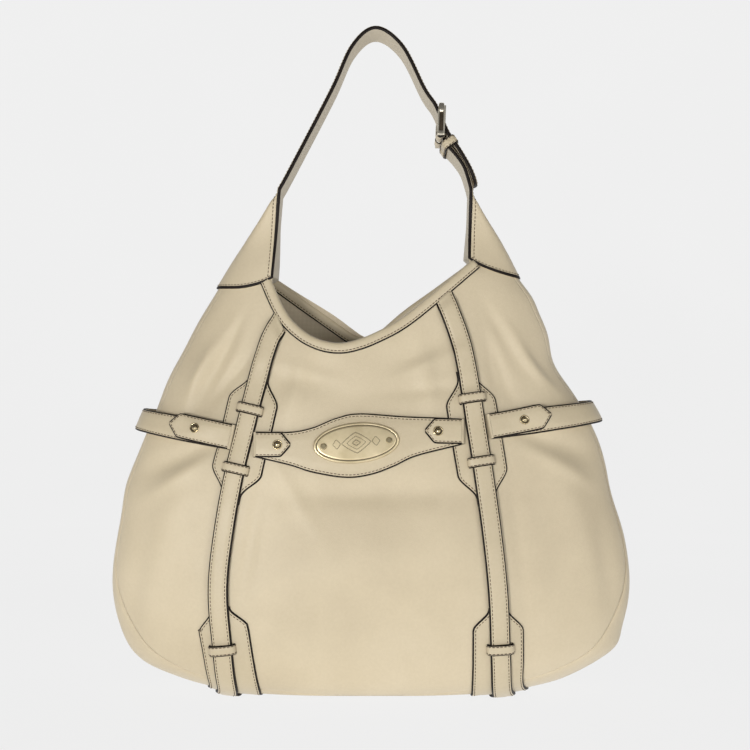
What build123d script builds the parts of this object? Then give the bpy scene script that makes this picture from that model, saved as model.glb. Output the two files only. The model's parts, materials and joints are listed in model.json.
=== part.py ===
from build123d import *

import os
from math import cos, pi, radians, sin

# A slouchy leather hobo bag standing on its base: +X right, +Y to the back, +Z up, origin on
# the floor under the middle. Every leather layer follows one bag form, grown or shrunk a little.

# ---- driving dimensions, in mm and degrees
BASE_Z = 4.6  # underside of the base leather: a patch and a strap lie below it
BASE_BLEND = 100.0  # below this height a grown form also grows downwards
BULGE = 2.4  # exponent of the form's horizontal sections: 2 is an ellipse
SECTION_POINTS = 16
LEVELS = [  # height, half width, half depth of the bag form
    (4.6, 122, 42),
    (14, 156, 51),
    (28, 186, 57),
    (50, 206, 60),
    (92, 214.5, 61),
    (150, 206, 57),
    (205, 190, 50),
    (255, 165.5, 41),
    (300, 146.5, 33),
    (335, 126, 28),
    (375, 103, 22),
    (425, 76, 15),
]
LEATHER = 2.0  # wall of the bag
LINING_GAP, LINING = 0.3, 1.0
PATCH_IN, PATCH_OUT = 0.3, 1.8  # layers outside the wall, as offsets from the bag form
STRAP_IN, STRAP_OUT = 2.1, 4.6
BELT_OUT = 4.1
TAB_IN, TAB_OUT = 4.4, 6.0
HORN_OUT = 2.4
BELT_STAND_OFF = 7.0  # how far the side belts stand out past the sides
REACH = 300.0  # longer than anything it cuts
DAB = 1.0  # side of the small square that samples a layer's face

GUSSET = [(0, 44), (110, 16), (300, 11), (500, 4)]  # height, half width
RIM_END = 82.0  # the rims run in under the horns
HORN_EDGE = 79.0  # the horns' inner upright edges
PANEL_TOP, HORN_TOP, HORN_CAP = 397.0, 403.4, 2.0
LEFT_WEB_FOOT, RIGHT_WEB_FOOT, WEB_THICK = 347.0, 362.0, 1.6
RIM_DROP = 2.4  # the panels' edges lie this far below the binding's top
FRONT_RIM = [(-82, 340), (-64, 300.5), (-24, 283.5), (22, 304), (82, 356.5)]
FRONT_RIM_RADII = [45, 38, 60]
BACK_RIM, BACK_RIM_RADII = [(-82, 344), (-7, 287), (82, 355.6)], [22]
BINDING_HEIGHT, BINDING_IN, BINDING_OUT, BINDING_WALL = 9.0, -5.0, 1.6, 1.3
LEFT_HORN_EDGE = [(79, 341.5), (88.6, 336.7), (98.6, 334), (111, 332.6), (140, 334)]
RIGHT_HORN_EDGE = [(79, 357.5), (88.1, 352), (100.6, 347), (118.5, 342.3), (140, 340)]
BOARD_Z, BOARD_THICK, FLOOR_Z = 6.9, 2.4, 9.6

STRAP_WIDTH = 16.0
STRAP_PATHS = {  # the down straps' centre lines, front and back, as (x, z)
    "left": [(-84, 282), (-98, 228), (-112, 163), (-120, 98), (-117, 45), (-113, 4), (-112, -20)],
    "right": [(74, 282), (84, 219), (93, 156), (100, 90), (102, 45), (104, 4), (104.5, -20)],
}
FRONT_STRAP_TOPS = {"left": (-73.5, 305.5), "right": (61.5, 318.5)}
BACK_STRAP_TOPS = {"left": (-75, 322), "right": (61.5, 320)}
DIAMONDS = {"left": (-100.5, 213, -12.5), "right": (84.5, 212, 8.7)}  # x, z, tilt
DIAMOND_HALF_LENGTH, DIAMOND_HALF_WIDTH, DIAMOND_SIDE = 54.0, 20.5, 29.0
NECK, PATCH_FILLET, BASE_SHOULDER, BASE_FILLET = 8.0, 6.0, 15.0, 6.0
BASE_PATCHES = {"left": (-119, 77, 9.0), "right": (100.7, 77, 0.0)}
LOOPS = {  # keeper loops: x, z, tilt about the surface normal
    "left_upper": (-96.6, 234, -13.0),
    "left_lower": (-107.1, 187, -12.0),
    "left_base": (-117, 45, 5.9),
    "right_upper": (80.9, 243, 7.7),
    "right_lower": (87.6, 193, 8.3),
    "right_base": (102, 46, 2.6),
}
LOOP_LENGTH, LOOP_SIDE, LOOP_WALL = 8.0, 0.9, 1.6
LOOP_FOOT, LOOP_CLEAR = 2.2, 0.4  # below and above the strap's face

# belts are given in front-view outlines, and their ends fold back over themselves as pointed tabs
BELT_HEIGHT, TAB_FOLD, TAB_POINT, TAB_FILLET = 20.0, 2.6, 7.0, 3.0
SIDE_BELTS = {  # side: (fold x, z), (belt's height at the side), tab's tip (x, z)
    "left": ((-111.6, 211), (-214, 226), (-160.5, 221.5)),
    "right": ((95.5, 220.5), (214, 234.5), (143, 229)),
}
FRONT_BELT_TOP = [
    (-91, 216), (-64, 216.3), (-46, 219.9), (-27.8, 227.3), (-9.5, 230.9), (27, 228.6), (72, 226.8),
]  # fmt: skip
FRONT_BELT_FOOT = [
    (-91, 196), (-64, 189.8), (-46, 184.3), (-20, 180.3), (0, 182.6), (18, 189), (36, 197.1), (72, 206),
]  # fmt: skip
INNER_TABS = {"left": ((-91, 206), (-63.7, 206)), "right": ((72, 216.5), (43, 217))}
STUD_R, STUD_FLANGE, STUD_DOME_R, STUD_POST_R = 4.0, 0.9, 2.4, 1.2
STUD_BACK_R, STUD_BACK, STUD_HOLE_R = 2.8, 0.8, 1.3
STUDS = {
    "left_outer": (-139.8, 218.4),
    "left_inner": (-73.5, 205.8),
    "right_inner": (53, 216.6),
    "right_outer": (122, 225.2),
}
PLAQUE_AT, PLAQUE_TILT = (-11.4, 207.5), 5.4
PLAQUE_HALF_LENGTH, PLAQUE_HALF_HEIGHT, PLAQUE_THICK, PLAQUE_STAND_OFF = 34.0, 16.0, 1.6, 0.5
PLAQUE_BORDER, PLAQUE_GROOVE, PLAQUE_ENGRAVING = 2.0, 0.8, 0.4
SCREW_AT, SCREW_HEAD_R, SCREW_HEAD, SCREW_CHAMFER = 26.0, 2.6, 1.4, 0.7

HINGE_Z = 419.0  # the handle flops to the front or back about this line
LEAN = 7.0  # degrees that the handle stands back from upright
HANDLE_WIDTH, HANDLE_THICK = 30.0, 3.0
LONG_STRAP = [  # centre line in the handle's own plane, (x, height above the hinge)
    (-85.5, -16), (-80.5, -6), (-72, 9), (-36, 78), (-17, 117), (4, 132.5), (26, 117), (44.3, 80),
    (53.1, 66.5), (58.4, 54), (64.2, 41), (70, 32.5), (75.8, 23), (81.2, 13), (87, 0),
]  # fmt: skip
SHORT_STRAP = [(85.5, -16), (82.5, -6), (80, 4), (76.5, 14), (70.5, 23), (63.9, 30.6), (59.6, 38.2)]
TIP_FILLET = 12.0
HEEL_BAR, FAR_BAR = (57.5, 41.0), (58.5, 66.5)
HEEL_BAR_R, HEEL_BAR_INSET, CHAPE_R_IN, CHAPE_R_OUT = 1.5, 1.0, 1.7, 3.8
BUCKLE_WIDTH, BUCKLE_OPENING, BUCKLE_THICK = 39.0, 32.0, 4.4
BUCKLE_HEEL, BUCKLE_FAR_IN, BUCKLE_FAR_OUT = -3.0, 23.5, 27.5
BUCKLE_FILLET, BUCKLE_CHAMFER = 6.0, 0.6
PRONG_WIDTH, PRONG_EYE_R, PRONG_FOOT, PRONG_THICK, PRONG_LENGTH = 3.4, 3.2, 2.3, 2.0, 28.5
PRONG_SLOT, PRONG_SLOT_FROM, PRONG_SLOT_TO = 5.2, -2.5, 14.5
SPARE_HOLE_AT, SPARE_HOLE_FACING, SPARE_HOLE_R = (35.0, 100.0), (0.87, 0.5), 2.0
KEEPER_AT, KEEPER_TOWARDS = (66.8, 31.2), (5.8, -8.6)
KEEPER_OPENING, KEEPER_WALL, KEEPER_LENGTH = (31.2, 11.4), 1.6, 9.0

MAGNET_AT, MAGNET_R, MAGNET_THICK = (-7, 266), 9.0, 2.4
MAGNET_FILLET, MAGNET_EYE_R, MAGNET_EYE_DEPTH = 0.8, 3.0, 1.2
ZIP_Z, ZIP_Y, ZIP_TILT = 232.0, 31.0, -9.5  # the zip's line on the hanging pocket inside the back
POCKET_WIDTH, POCKET_ABOVE, POCKET_BELOW, POCKET_DEPTH, POCKET_WALL = 176.0, 12.0, 100.0, 4.0, 0.8
POCKET_CORNER = 3.2
ZIP_HALF_LENGTH, ZIP_WINDOW = 80.0, 11.0
TAPE_FROM, TAPE_TO, TAPE_LOW, TAPE_HIGH, TAPE_END = 2.6, 10.0, 0.2, 0.7, 2.0
TEETH, TOOTH_PITCH, TOOTH_LENGTH, TOOTH_FROM, TOOTH_TO = 50, 3.1, 1.6, 0.9, 3.4
TOOTH_LOW, TOOTH_HIGH, TOOTH_RAIL, TAPE_SLOT = -0.4, 1.4, 0.8, 4.0
STOP_LENGTH, STOP_OVERLAP, TAPE_CLEAR = 3.0, 1.0, 0.1
SLIDER_AT, SLIDER_LENGTH, SLIDER_WIDTH, SLIDER_PLATE = -70.0, 11.0, 9.0, 1.0
SLIDER_TOP, SLIDER_BOTTOM, SLIDER_POST, SLIDER_POST_LENGTH, SLIDER_FILLET = 1.6, -1.8, 1.2, 4.0, 2.0
BAIL_THICK, BAIL_SPAN, BAIL_HEIGHT, BAIL_WALL = 2.0, 6.4, 3.2, 1.0
PULL_BAR_R, PULL_ARM, PULL_WIDTH, PULL_TAB, PULL_EYE, PULL_FILLET = 0.6, 1.3, 9.0, 22.0, 8.0, 2.0


# ---- the bag form and its layers
def section_points(half_width, half_depth):
    """Points round one horizontal section, a superellipse."""
    points = []
    for k in range(SECTION_POINTS):
        angle = 2 * pi * k / SECTION_POINTS
        c, s = cos(angle), sin(angle)
        x = half_width * abs(c) ** (2 / BULGE) * (1 if c >= 0 else -1)
        y = half_depth * abs(s) ** (2 / BULGE) * (1 if s >= 0 else -1)
        points.append((x, y))
    return points


def bag_form(grow, side_grow=0.0):
    """The whole bag form as a solid, grown outwards by grow, and by side_grow more at its sides."""
    with BuildPart() as form:
        for height, half_width, half_depth in LEVELS:
            near_base = max(0.0, 1 - (height - BASE_Z) / BASE_BLEND)
            with BuildSketch(Plane.XY.offset(height - grow * near_base)):
                with BuildLine():
                    Spline(section_points(half_width + grow + side_grow, half_depth + grow), periodic=True)
                make_face()
        loft()
    return form.part


def layer(grow_in, grow_out, side_grow=0.0):
    """A layer of leather that follows the bag form, open at the top."""
    with BuildPart() as skin:
        add(bag_form(grow_out, side_grow))
        add(bag_form(grow_in, side_grow), mode=Mode.SUBTRACT)
    return skin.part


def cut_front_view(skin, front=None, back=None):
    """The part of a layer inside front-view outlines, one for its front half and one for its back."""
    with BuildPart() as piece:
        if front:
            extrude(to_extrude=front, amount=REACH, dir=(0, -1, 0))
        if back:
            extrude(to_extrude=back, amount=REACH, dir=(0, 1, 0))
        add(skin, mode=Mode.INTERSECT)
    return piece.part


def mouth(rim, grow):
    """Front-view area of the open mouth above a rim curve, grown outwards."""
    with BuildSketch(Plane.XZ) as opening:
        with BuildLine():
            add(rim)
            Polyline(rim @ 1, (RIM_END, 2 * REACH), (-RIM_END, 2 * REACH), rim @ 0)
        make_face()
        if grow:
            offset(amount=grow)
    return opening.sketch


def panel_outline(rim, top):
    """Front-view area of a panel: below its rim, with arms that run up inside the horns."""
    with BuildSketch(Plane.XZ) as outline:
        with Locations((0, top - REACH)):
            Rectangle(2 * REACH, 2 * REACH)
        add(mouth(rim, RIM_DROP), mode=Mode.SUBTRACT)
    return outline.sketch


def band_outline(points, width):
    """Front-view area of a strap of constant width along a smooth line."""
    with BuildSketch(Plane.XZ) as band:
        with BuildLine() as path:
            Spline(points)
        trace(line_width=width)
    return band.sketch


def seat(skin, x, z, tilt=0.0, inside=False):
    """Plane on a layer's front at (x, z), facing outwards, or inwards on its inner face."""
    with BuildPart() as dab:
        with BuildSketch(Plane.XZ):
            with Locations((x, z)):
                Rectangle(DAB, DAB)
        extrude(amount=REACH)
        add(skin, mode=Mode.INTERSECT)
    faces = dab.faces().sort_by(Axis.Y)
    face = faces[-1] if inside else faces[0]
    normal = face.normal_at(face.center())
    across = Vector(0, 0, 1).cross(normal).normalized()
    up = normal.cross(across)
    return Plane(
        origin=face.center(), x_dir=across * cos(radians(tilt)) + up * sin(radians(tilt)), z_dir=normal
    )


def finish(part, name):
    part.label = name
    export_step(part, "parts/" + name + ".step")


os.makedirs("parts", exist_ok=True)

shell = layer(-LEATHER, 0)
patch_skin = layer(PATCH_IN, PATCH_OUT)
strap_skin = layer(STRAP_IN, STRAP_OUT)
belt_skin = layer(STRAP_IN, BELT_OUT)
tab_skin = layer(TAB_IN, TAB_OUT)
fold_skin = layer(STRAP_IN, TAB_OUT)
side_belt_skin = layer(STRAP_IN, BELT_OUT, BELT_STAND_OFF)
side_tab_skin = layer(TAB_IN, TAB_OUT, BELT_STAND_OFF)
side_fold_skin = layer(STRAP_IN, TAB_OUT, BELT_STAND_OFF)
lining_skin = layer(-LEATHER - LINING_GAP - LINING, -LEATHER - LINING_GAP)

front_rim = FilletPolyline(*FRONT_RIM, radius=FRONT_RIM_RADII)
back_rim = FilletPolyline(*BACK_RIM, radius=BACK_RIM_RADII)

# ---- leather body: two panels and a gusset that runs up one side, under the base and up the other
with BuildPart() as wedge:
    with BuildSketch(Plane.YZ):
        with BuildLine():
            Polyline([(-half, z) for z, half in GUSSET] + [(half, z) for z, half in GUSSET[::-1]], close=True)
        make_face()
    extrude(amount=REACH, both=True)

with BuildPart() as front_panel:
    add(cut_front_view(shell, front=panel_outline(front_rim, PANEL_TOP)))
    add(wedge.part, mode=Mode.SUBTRACT)
finish(front_panel.part, "front_panel")

with BuildPart() as back_panel:
    add(cut_front_view(shell, back=panel_outline(back_rim, PANEL_TOP)))
    add(wedge.part, mode=Mode.SUBTRACT)
finish(back_panel.part, "back_panel")

with BuildPart() as gusset:
    front_side = panel_outline(front_rim, PANEL_TOP)
    back_side = panel_outline(back_rim, PANEL_TOP)
    add(cut_front_view(shell, front=front_side, back=back_side))
    add(wedge.part, mode=Mode.INTERSECT)
finish(gusset.part, "gusset")

# ---- base board and lining
with BuildPart() as base_board:
    with BuildSketch(Plane.XY.offset(BOARD_Z)):
        Rectangle(2 * REACH, 2 * REACH)
    extrude(amount=BOARD_THICK)
    add(bag_form(-LEATHER - LINING_GAP), mode=Mode.INTERSECT)
finish(base_board.part, "base_board")

with BuildPart() as lining:
    front_side = panel_outline(front_rim, PANEL_TOP - RIM_DROP)
    back_side = panel_outline(back_rim, PANEL_TOP - RIM_DROP)
    add(cut_front_view(lining_skin, front=front_side, back=back_side))
    with BuildSketch(Plane.XY.offset(FLOOR_Z)):
        Rectangle(2 * REACH, 2 * REACH)
    extrude(amount=-REACH, mode=Mode.SUBTRACT)
    with BuildPart(mode=Mode.PRIVATE) as lining_floor:
        with BuildSketch(Plane.XY.offset(FLOOR_Z)):
            Rectangle(2 * REACH, 2 * REACH)
        extrude(amount=LINING)
        add(bag_form(-LEATHER - LINING_GAP), mode=Mode.INTERSECT)
    add(lining_floor.part)
finish(lining.part, "lining")

# ---- rim bindings, folded over the edges of the panels and the lining
binding_skin = layer(BINDING_IN, BINDING_OUT)
binding_slot = layer(BINDING_IN + BINDING_WALL, BINDING_OUT - BINDING_WALL)


def rim_binding(rim, name, on_front):
    with BuildSketch(Plane.XZ) as band:
        with Locations((0, REACH)):
            Rectangle(2 * (HORN_EDGE - LINING_GAP), 2 * REACH)
        add(mouth(rim, BINDING_HEIGHT), mode=Mode.INTERSECT)
        add(mouth(rim, 0), mode=Mode.SUBTRACT)
    with BuildSketch(Plane.XZ) as below:
        Rectangle(4 * REACH, 4 * REACH)
        add(mouth(rim, RIM_DROP - LINING_GAP), mode=Mode.SUBTRACT)
    sides = {"front": band.sketch} if on_front else {"back": band.sketch}
    slots = {"front": below.sketch} if on_front else {"back": below.sketch}
    with BuildPart() as binding:
        add(cut_front_view(binding_skin, **sides))
        add(cut_front_view(binding_slot, **slots), mode=Mode.SUBTRACT)
    finish(binding.part, name)


rim_binding(front_rim, "front_rim_binding", True)
rim_binding(back_rim, "back_rim_binding", False)

# ---- horns: leather caps over the top corners, which the handle is sewn to
horn_skin = layer(PATCH_IN, HORN_OUT)
horn_form = bag_form(HORN_OUT)


def horn(side, lower_edge, web_foot, name):
    with BuildSketch(Plane.XZ) as outline:
        with BuildLine():
            edge = Spline([(side * x, z) for x, z in lower_edge])
            Polyline(edge @ 1, (side * REACH, HORN_TOP), (side * HORN_EDGE, HORN_TOP), edge @ 0)
        make_face()
    outwards = Align.MIN if side > 0 else Align.MAX
    with BuildSketch(Plane.XZ) as cap_outline:
        with Locations((side * HORN_EDGE, HORN_TOP)):
            Rectangle(REACH, HORN_CAP, align=(outwards, Align.MAX))
    with BuildSketch(Plane.XZ) as web_outline:
        with Locations((side * HORN_EDGE, web_foot)):
            Rectangle(WEB_THICK, HORN_TOP - web_foot, align=(outwards, Align.MIN))
    with BuildPart() as piece:
        add(cut_front_view(horn_skin, front=outline.sketch, back=outline.sketch))
        add(cut_front_view(horn_form, front=web_outline.sketch, back=web_outline.sketch))
        add(cut_front_view(horn_form, front=cap_outline.sketch, back=cap_outline.sketch))
    finish(piece.part, name)


horn(-1, LEFT_HORN_EDGE, LEFT_WEB_FOOT, "left_horn")
horn(1, RIGHT_HORN_EDGE, RIGHT_WEB_FOOT, "right_horn")

# ---- diamond patches, and base patches that wrap under the bag
for side, (x, z, tilt) in DIAMONDS.items():
    with BuildSketch(Plane.XZ) as diamond:
        with Locations(Location((x, z), tilt)):
            corners = [
                (NECK, DIAMOND_HALF_LENGTH),
                (DIAMOND_HALF_WIDTH, DIAMOND_SIDE),
                (DIAMOND_HALF_WIDTH, -DIAMOND_SIDE),
                (NECK, -DIAMOND_HALF_LENGTH),
            ]
            Polygon(corners + [(-u, v) for u, v in corners[::-1]], align=None)
        fillet(diamond.vertices(), radius=PATCH_FILLET)
    patch = cut_front_view(patch_skin, front=diamond.sketch)
    finish(patch, "front_" + side + "_diamond_patch")
    finish(mirror(patch, about=Plane.XZ), "back_" + side + "_diamond_patch")

for side, (x, z, tilt) in BASE_PATCHES.items():
    with BuildSketch(Plane.XZ) as outline:
        with Locations(Location((x, z), tilt)):
            corners = [(NECK, 0), (DIAMOND_HALF_WIDTH, -BASE_SHOULDER), (DIAMOND_HALF_WIDTH, -2 * z)]
            Polygon(corners + [(-u, v) for u, v in corners[::-1]], align=None)
        fillet(outline.vertices().filter_by(lambda corner: corner.Y > 0), radius=BASE_FILLET)
    finish(cut_front_view(patch_skin, front=outline.sketch, back=outline.sketch), side + "_base_patch")

# ---- down straps, from the front binding under the base and up to the back binding
for side, path in STRAP_PATHS.items():
    front_band = band_outline([FRONT_STRAP_TOPS[side]] + path, STRAP_WIDTH)
    back_band = band_outline([BACK_STRAP_TOPS[side]] + path, STRAP_WIDTH)
    finish(cut_front_view(strap_skin, front=front_band, back=back_band), side + "_down_strap")

# ---- keeper loops: small leather bridges over the down straps, the same on the back
for place, (x, z, tilt) in LOOPS.items():
    with BuildPart() as loop:
        with BuildSketch(seat(strap_skin, x, z, tilt)) as bridge:
            Rectangle(STRAP_WIDTH + 2 * (LOOP_SIDE + LOOP_WALL), LOOP_LENGTH)
        extrude(amount=LOOP_CLEAR + LOOP_WALL)
        extrude(to_extrude=bridge.sketch, amount=-LOOP_FOOT)
        with BuildSketch(seat(strap_skin, x, z, tilt)) as gap:
            Rectangle(STRAP_WIDTH + 2 * LOOP_SIDE, LOOP_LENGTH)
        extrude(amount=LOOP_CLEAR, mode=Mode.SUBTRACT)
        extrude(to_extrude=gap.sketch, amount=-LOOP_FOOT, mode=Mode.SUBTRACT)
        ridges = loop.edges().filter_by(lambda edge: edge.length > LOOP_LENGTH - 0.1)
        fillet(ridges.sort_by_distance(seat(strap_skin, x, z).origin)[-4:-2], radius=LOOP_CLEAR)
    finish(loop.part, place + "_loop_front")
    finish(mirror(loop.part, about=Plane.XZ), place + "_loop_back")


# ---- belts. Each end folds over itself beside its down strap and comes back as a pointed tab
def tab_frame(fold, tip):
    """Place of a tab's fold in the front view, with x towards its tip, and the tab's length."""
    along = Vector(tip[0] - fold[0], tip[1] - fold[1])
    turn = Vector(1, 0).get_signed_angle(along, Vector(0, 0, 1))
    return Location(fold, turn), along.length


def tab_outline(fold, tip):
    """Front-view outline of a tab from its fold to its pointed tip."""
    place, length = tab_frame(fold, tip)
    with BuildSketch(Plane.XZ) as outline:
        with Locations(place):
            half = BELT_HEIGHT / 2
            body = length - TAB_POINT
            Polygon((0, -half), (body, -half), (length, 0), (body, half), (0, half), align=None)
        fillet(outline.vertices().sort_by_distance(tip)[:3], radius=TAB_FILLET)
    return outline.sketch


def fold_outline(fold, tip):
    """The first stretch of a tab, where its two layers join."""
    place, _ = tab_frame(fold, tip)
    with BuildSketch(Plane.XZ) as outline:
        with Locations(place):
            Rectangle(TAB_FOLD, BELT_HEIGHT, align=(Align.MIN, Align.CENTER))
    return outline.sketch


def stud(skin, place):
    """A domed rivet through a tab and its belt, and the hole for it."""
    x, z = STUDS[place]
    plane = seat(skin, x, z)
    depth = TAB_OUT - PATCH_IN
    with BuildPart() as rivet:
        with BuildSketch(plane):
            Circle(STUD_R)
        extrude(amount=STUD_FLANGE)
        rim = rivet.edges().group_by(SortBy.LENGTH)[-1].sort_by_distance(plane.origin)[-1:]
        fillet(rim, radius=STUD_FLANGE / 2)
        with Locations(plane.offset(STUD_FLANGE)):
            Sphere(STUD_DOME_R, arc_size1=0, align=(Align.CENTER, Align.CENTER, Align.MIN))
        with BuildSketch(plane.offset(-depth)):
            Circle(STUD_POST_R)
        extrude(amount=depth)
        with BuildSketch(plane.offset(-depth)):
            Circle(STUD_BACK_R)
        extrude(amount=STUD_BACK)
    with BuildPart() as hole:
        with BuildSketch(plane.offset(-depth)):
            Circle(STUD_HOLE_R)
        extrude(amount=2 * depth)
    return rivet.part, hole.part


rivets = []
for side, (fold, at_side, tip) in SIDE_BELTS.items():
    rivet, hole = stud(side_tab_skin, side + "_outer")
    rivets.append(rivet)
    with BuildSketch(Plane.XZ) as band:
        with BuildLine():
            Line(fold, at_side)
        trace(line_width=BELT_HEIGHT)
    with BuildPart() as belt:
        add(cut_front_view(side_belt_skin, front=band.sketch))
        add(cut_front_view(side_tab_skin, front=tab_outline(fold, tip)))
        add(cut_front_view(side_fold_skin, front=fold_outline(fold, tip)))
        add(hole, mode=Mode.SUBTRACT)
        mirror(about=Plane.XZ)
    finish(belt.part, side + "_side_belt")

with BuildSketch(Plane.XZ) as centre:
    with BuildLine():
        top = Spline(FRONT_BELT_TOP)
        foot = Spline(FRONT_BELT_FOOT)
        Line(top @ 0, foot @ 0)
        Line(top @ 1, foot @ 1)
    make_face()
holes = []
with BuildPart() as front_belt:
    add(cut_front_view(belt_skin, front=centre.sketch))
    for side, (fold, tip) in INNER_TABS.items():
        add(cut_front_view(tab_skin, front=tab_outline(fold, tip)))
        add(cut_front_view(fold_skin, front=fold_outline(fold, tip)))
        rivet, hole = stud(tab_skin, side + "_inner")
        rivets.append(rivet)
        add(hole, mode=Mode.SUBTRACT)
finish(mirror(front_belt.part, about=Plane.XZ), "back_belt")

front_studs = Compound(children=rivets)
back_studs = Compound(children=[mirror(rivet, about=Plane.XZ) for rivet in rivets])
finish(front_studs, "front_studs")
finish(back_studs, "back_studs")

# ---- plaque, engraved with plain oval borders, and its two domed screws
plaque_plane = seat(belt_skin, PLAQUE_AT[0], PLAQUE_AT[1], PLAQUE_TILT).offset(PLAQUE_STAND_OFF)
screw_places = [plaque_plane.location * Location((side * SCREW_AT, 0, 0)) for side in (-1, 1)]
screw_depth = PLAQUE_STAND_OFF + BELT_OUT - PATCH_IN
with BuildPart() as plaque:
    with BuildSketch(plaque_plane):
        Ellipse(PLAQUE_HALF_LENGTH, PLAQUE_HALF_HEIGHT)
    extrude(amount=PLAQUE_THICK)
    with BuildSketch(plaque_plane.offset(PLAQUE_THICK)):
        Ellipse(PLAQUE_HALF_LENGTH - PLAQUE_BORDER, PLAQUE_HALF_HEIGHT - PLAQUE_BORDER)
        inset = PLAQUE_BORDER + PLAQUE_GROOVE
        Ellipse(PLAQUE_HALF_LENGTH - inset, PLAQUE_HALF_HEIGHT - inset, mode=Mode.SUBTRACT)
    extrude(amount=-PLAQUE_ENGRAVING, mode=Mode.SUBTRACT)
    with Locations(screw_places):
        Cylinder(STUD_HOLE_R, 4 * PLAQUE_THICK, mode=Mode.SUBTRACT)
finish(plaque.part, "plaque")

screws = []
for place in screw_places:
    plane = Plane(place)
    with BuildPart() as screw:
        with BuildSketch(plane.offset(PLAQUE_THICK)):
            Circle(SCREW_HEAD_R)
        extrude(amount=SCREW_HEAD)
        head_face = screw.faces().sort_by_distance(plane.offset(REACH).origin)[0]
        chamfer(head_face.edges(), length=SCREW_CHAMFER)
        with BuildSketch(plane.offset(PLAQUE_THICK)):
            Circle(STUD_POST_R)
        extrude(amount=-PLAQUE_THICK - screw_depth)
        with BuildSketch(plane.offset(-screw_depth)):
            Circle(STUD_BACK_R)
        extrude(amount=STUD_BACK)
    screws.append(screw.part)
    with BuildPart() as hole:
        with BuildSketch(plane.offset(-screw_depth)):
            Circle(STUD_HOLE_R)
        extrude(amount=2 * screw_depth)
    holes.append(hole.part)
finish(Compound(children=screws), "plaque_screws")
with BuildPart() as pierced_belt:
    add(front_belt.part)
    add(holes, mode=Mode.SUBTRACT)
finish(pierced_belt.part, "front_belt")

# ---- magnetic snap, one half inside each panel on the lining
magnet_plane = seat(lining_skin, MAGNET_AT[0], MAGNET_AT[1], inside=True)
with BuildPart() as magnet:
    with BuildSketch(magnet_plane.offset(LINING_GAP)):
        Circle(MAGNET_R)
    extrude(amount=MAGNET_THICK)
    inner_face = magnet.faces().sort_by_distance(magnet_plane.offset(REACH).origin)[0]
    fillet(inner_face.edges(), radius=MAGNET_FILLET)
    with BuildSketch(magnet_plane.offset(LINING_GAP + MAGNET_THICK)):
        Circle(MAGNET_EYE_R)
    extrude(amount=-MAGNET_EYE_DEPTH, mode=Mode.SUBTRACT)
finish(magnet.part, "magnetic_snap_front")
finish(mirror(magnet.part, about=Plane.XZ), "magnetic_snap_back")

# ---- handle, drawn flat in its own leaning plane: x across, y up, and its width through the plane
lean_out = Vector(0, -cos(radians(LEAN)), sin(radians(LEAN)))
handle_plane = Plane(origin=(0, 0, HINGE_Z), x_dir=(1, 0, 0), z_dir=lean_out)
root_plane = Plane(origin=(0, 0, HINGE_Z), x_dir=lean_out * -1, z_dir=(1, 0, 0))


def handle_strap(path):
    """A strap of the handle, with its root rounded about the hinge line."""
    with BuildPart() as strap:
        with BuildSketch(handle_plane):
            with BuildLine():
                Spline(path)
            trace(line_width=HANDLE_THICK)
        extrude(amount=HANDLE_WIDTH / 2, both=True)
        with BuildSketch(root_plane):
            Circle(HANDLE_WIDTH / 2)
            Rectangle(HANDLE_WIDTH, REACH, align=(Align.CENTER, Align.MIN))
        extrude(amount=REACH, both=True, mode=Mode.INTERSECT)
    return strap.part


def across_handle(at, towards):
    """Plane at a point of the handle that faces along its strap, x through the handle's width."""
    along = handle_plane.from_local_coords(Vector(*towards)) - handle_plane.origin
    return Plane(origin=handle_plane.from_local_coords(Vector(*at)), x_dir=lean_out, z_dir=along)


heel = Vector(*HEEL_BAR)
buckle_up = (Vector(*FAR_BAR) - heel).normalized()
buckle_out = Vector(buckle_up.Y, -buckle_up.X)
side_plane = Plane(  # at the heel bar: x towards the far bar, y outwards, z through the width
    origin=handle_plane.from_local_coords(heel),
    x_dir=handle_plane.from_local_coords(buckle_up) - handle_plane.origin,
    z_dir=lean_out * -1,
)
frame_plane = Plane(  # x through the width, y towards the far bar
    origin=side_plane.origin,
    x_dir=lean_out,
    z_dir=lean_out.cross(side_plane.x_dir),
)

spare_hole_plane = Plane(
    origin=handle_plane.from_local_coords(Vector(*SPARE_HOLE_AT)),
    x_dir=lean_out,
    z_dir=handle_plane.from_local_coords(Vector(*SPARE_HOLE_FACING)) - handle_plane.origin,
)
with BuildPart() as long_strap:
    add(handle_strap(LONG_STRAP))
    tip = handle_plane.from_local_coords(Vector(*LONG_STRAP[-1]))
    short_edges = long_strap.edges().filter_by(lambda edge: abs(edge.length - HANDLE_THICK) < 0.1)
    fillet(short_edges.sort_by_distance(tip)[:2], radius=TIP_FILLET)
    with BuildSketch(side_plane):
        with Locations(((PRONG_SLOT_FROM + PRONG_SLOT_TO) / 2, 0)):
            Rectangle(PRONG_SLOT_TO - PRONG_SLOT_FROM, 6 * HANDLE_THICK)
    extrude(amount=PRONG_SLOT / 2, both=True, mode=Mode.SUBTRACT)
    with BuildSketch(spare_hole_plane):
        Circle(SPARE_HOLE_R)
    extrude(amount=3 * HANDLE_THICK, both=True, mode=Mode.SUBTRACT)
finish(long_strap.part, "long_strap")

with BuildPart() as short_strap:
    add(handle_strap(SHORT_STRAP))
    with BuildSketch(side_plane) as chape:
        Circle(CHAPE_R_OUT)
    extrude(amount=HANDLE_WIDTH / 2, both=True)
    with BuildSketch(side_plane):
        Circle(CHAPE_R_IN)
    extrude(amount=HANDLE_WIDTH, both=True, mode=Mode.SUBTRACT)
    with BuildSketch(side_plane):
        Rectangle(4 * CHAPE_R_OUT, 2.2 * CHAPE_R_OUT)
    extrude(amount=PRONG_SLOT / 2, both=True, mode=Mode.SUBTRACT)
finish(short_strap.part, "short_strap")

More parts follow.
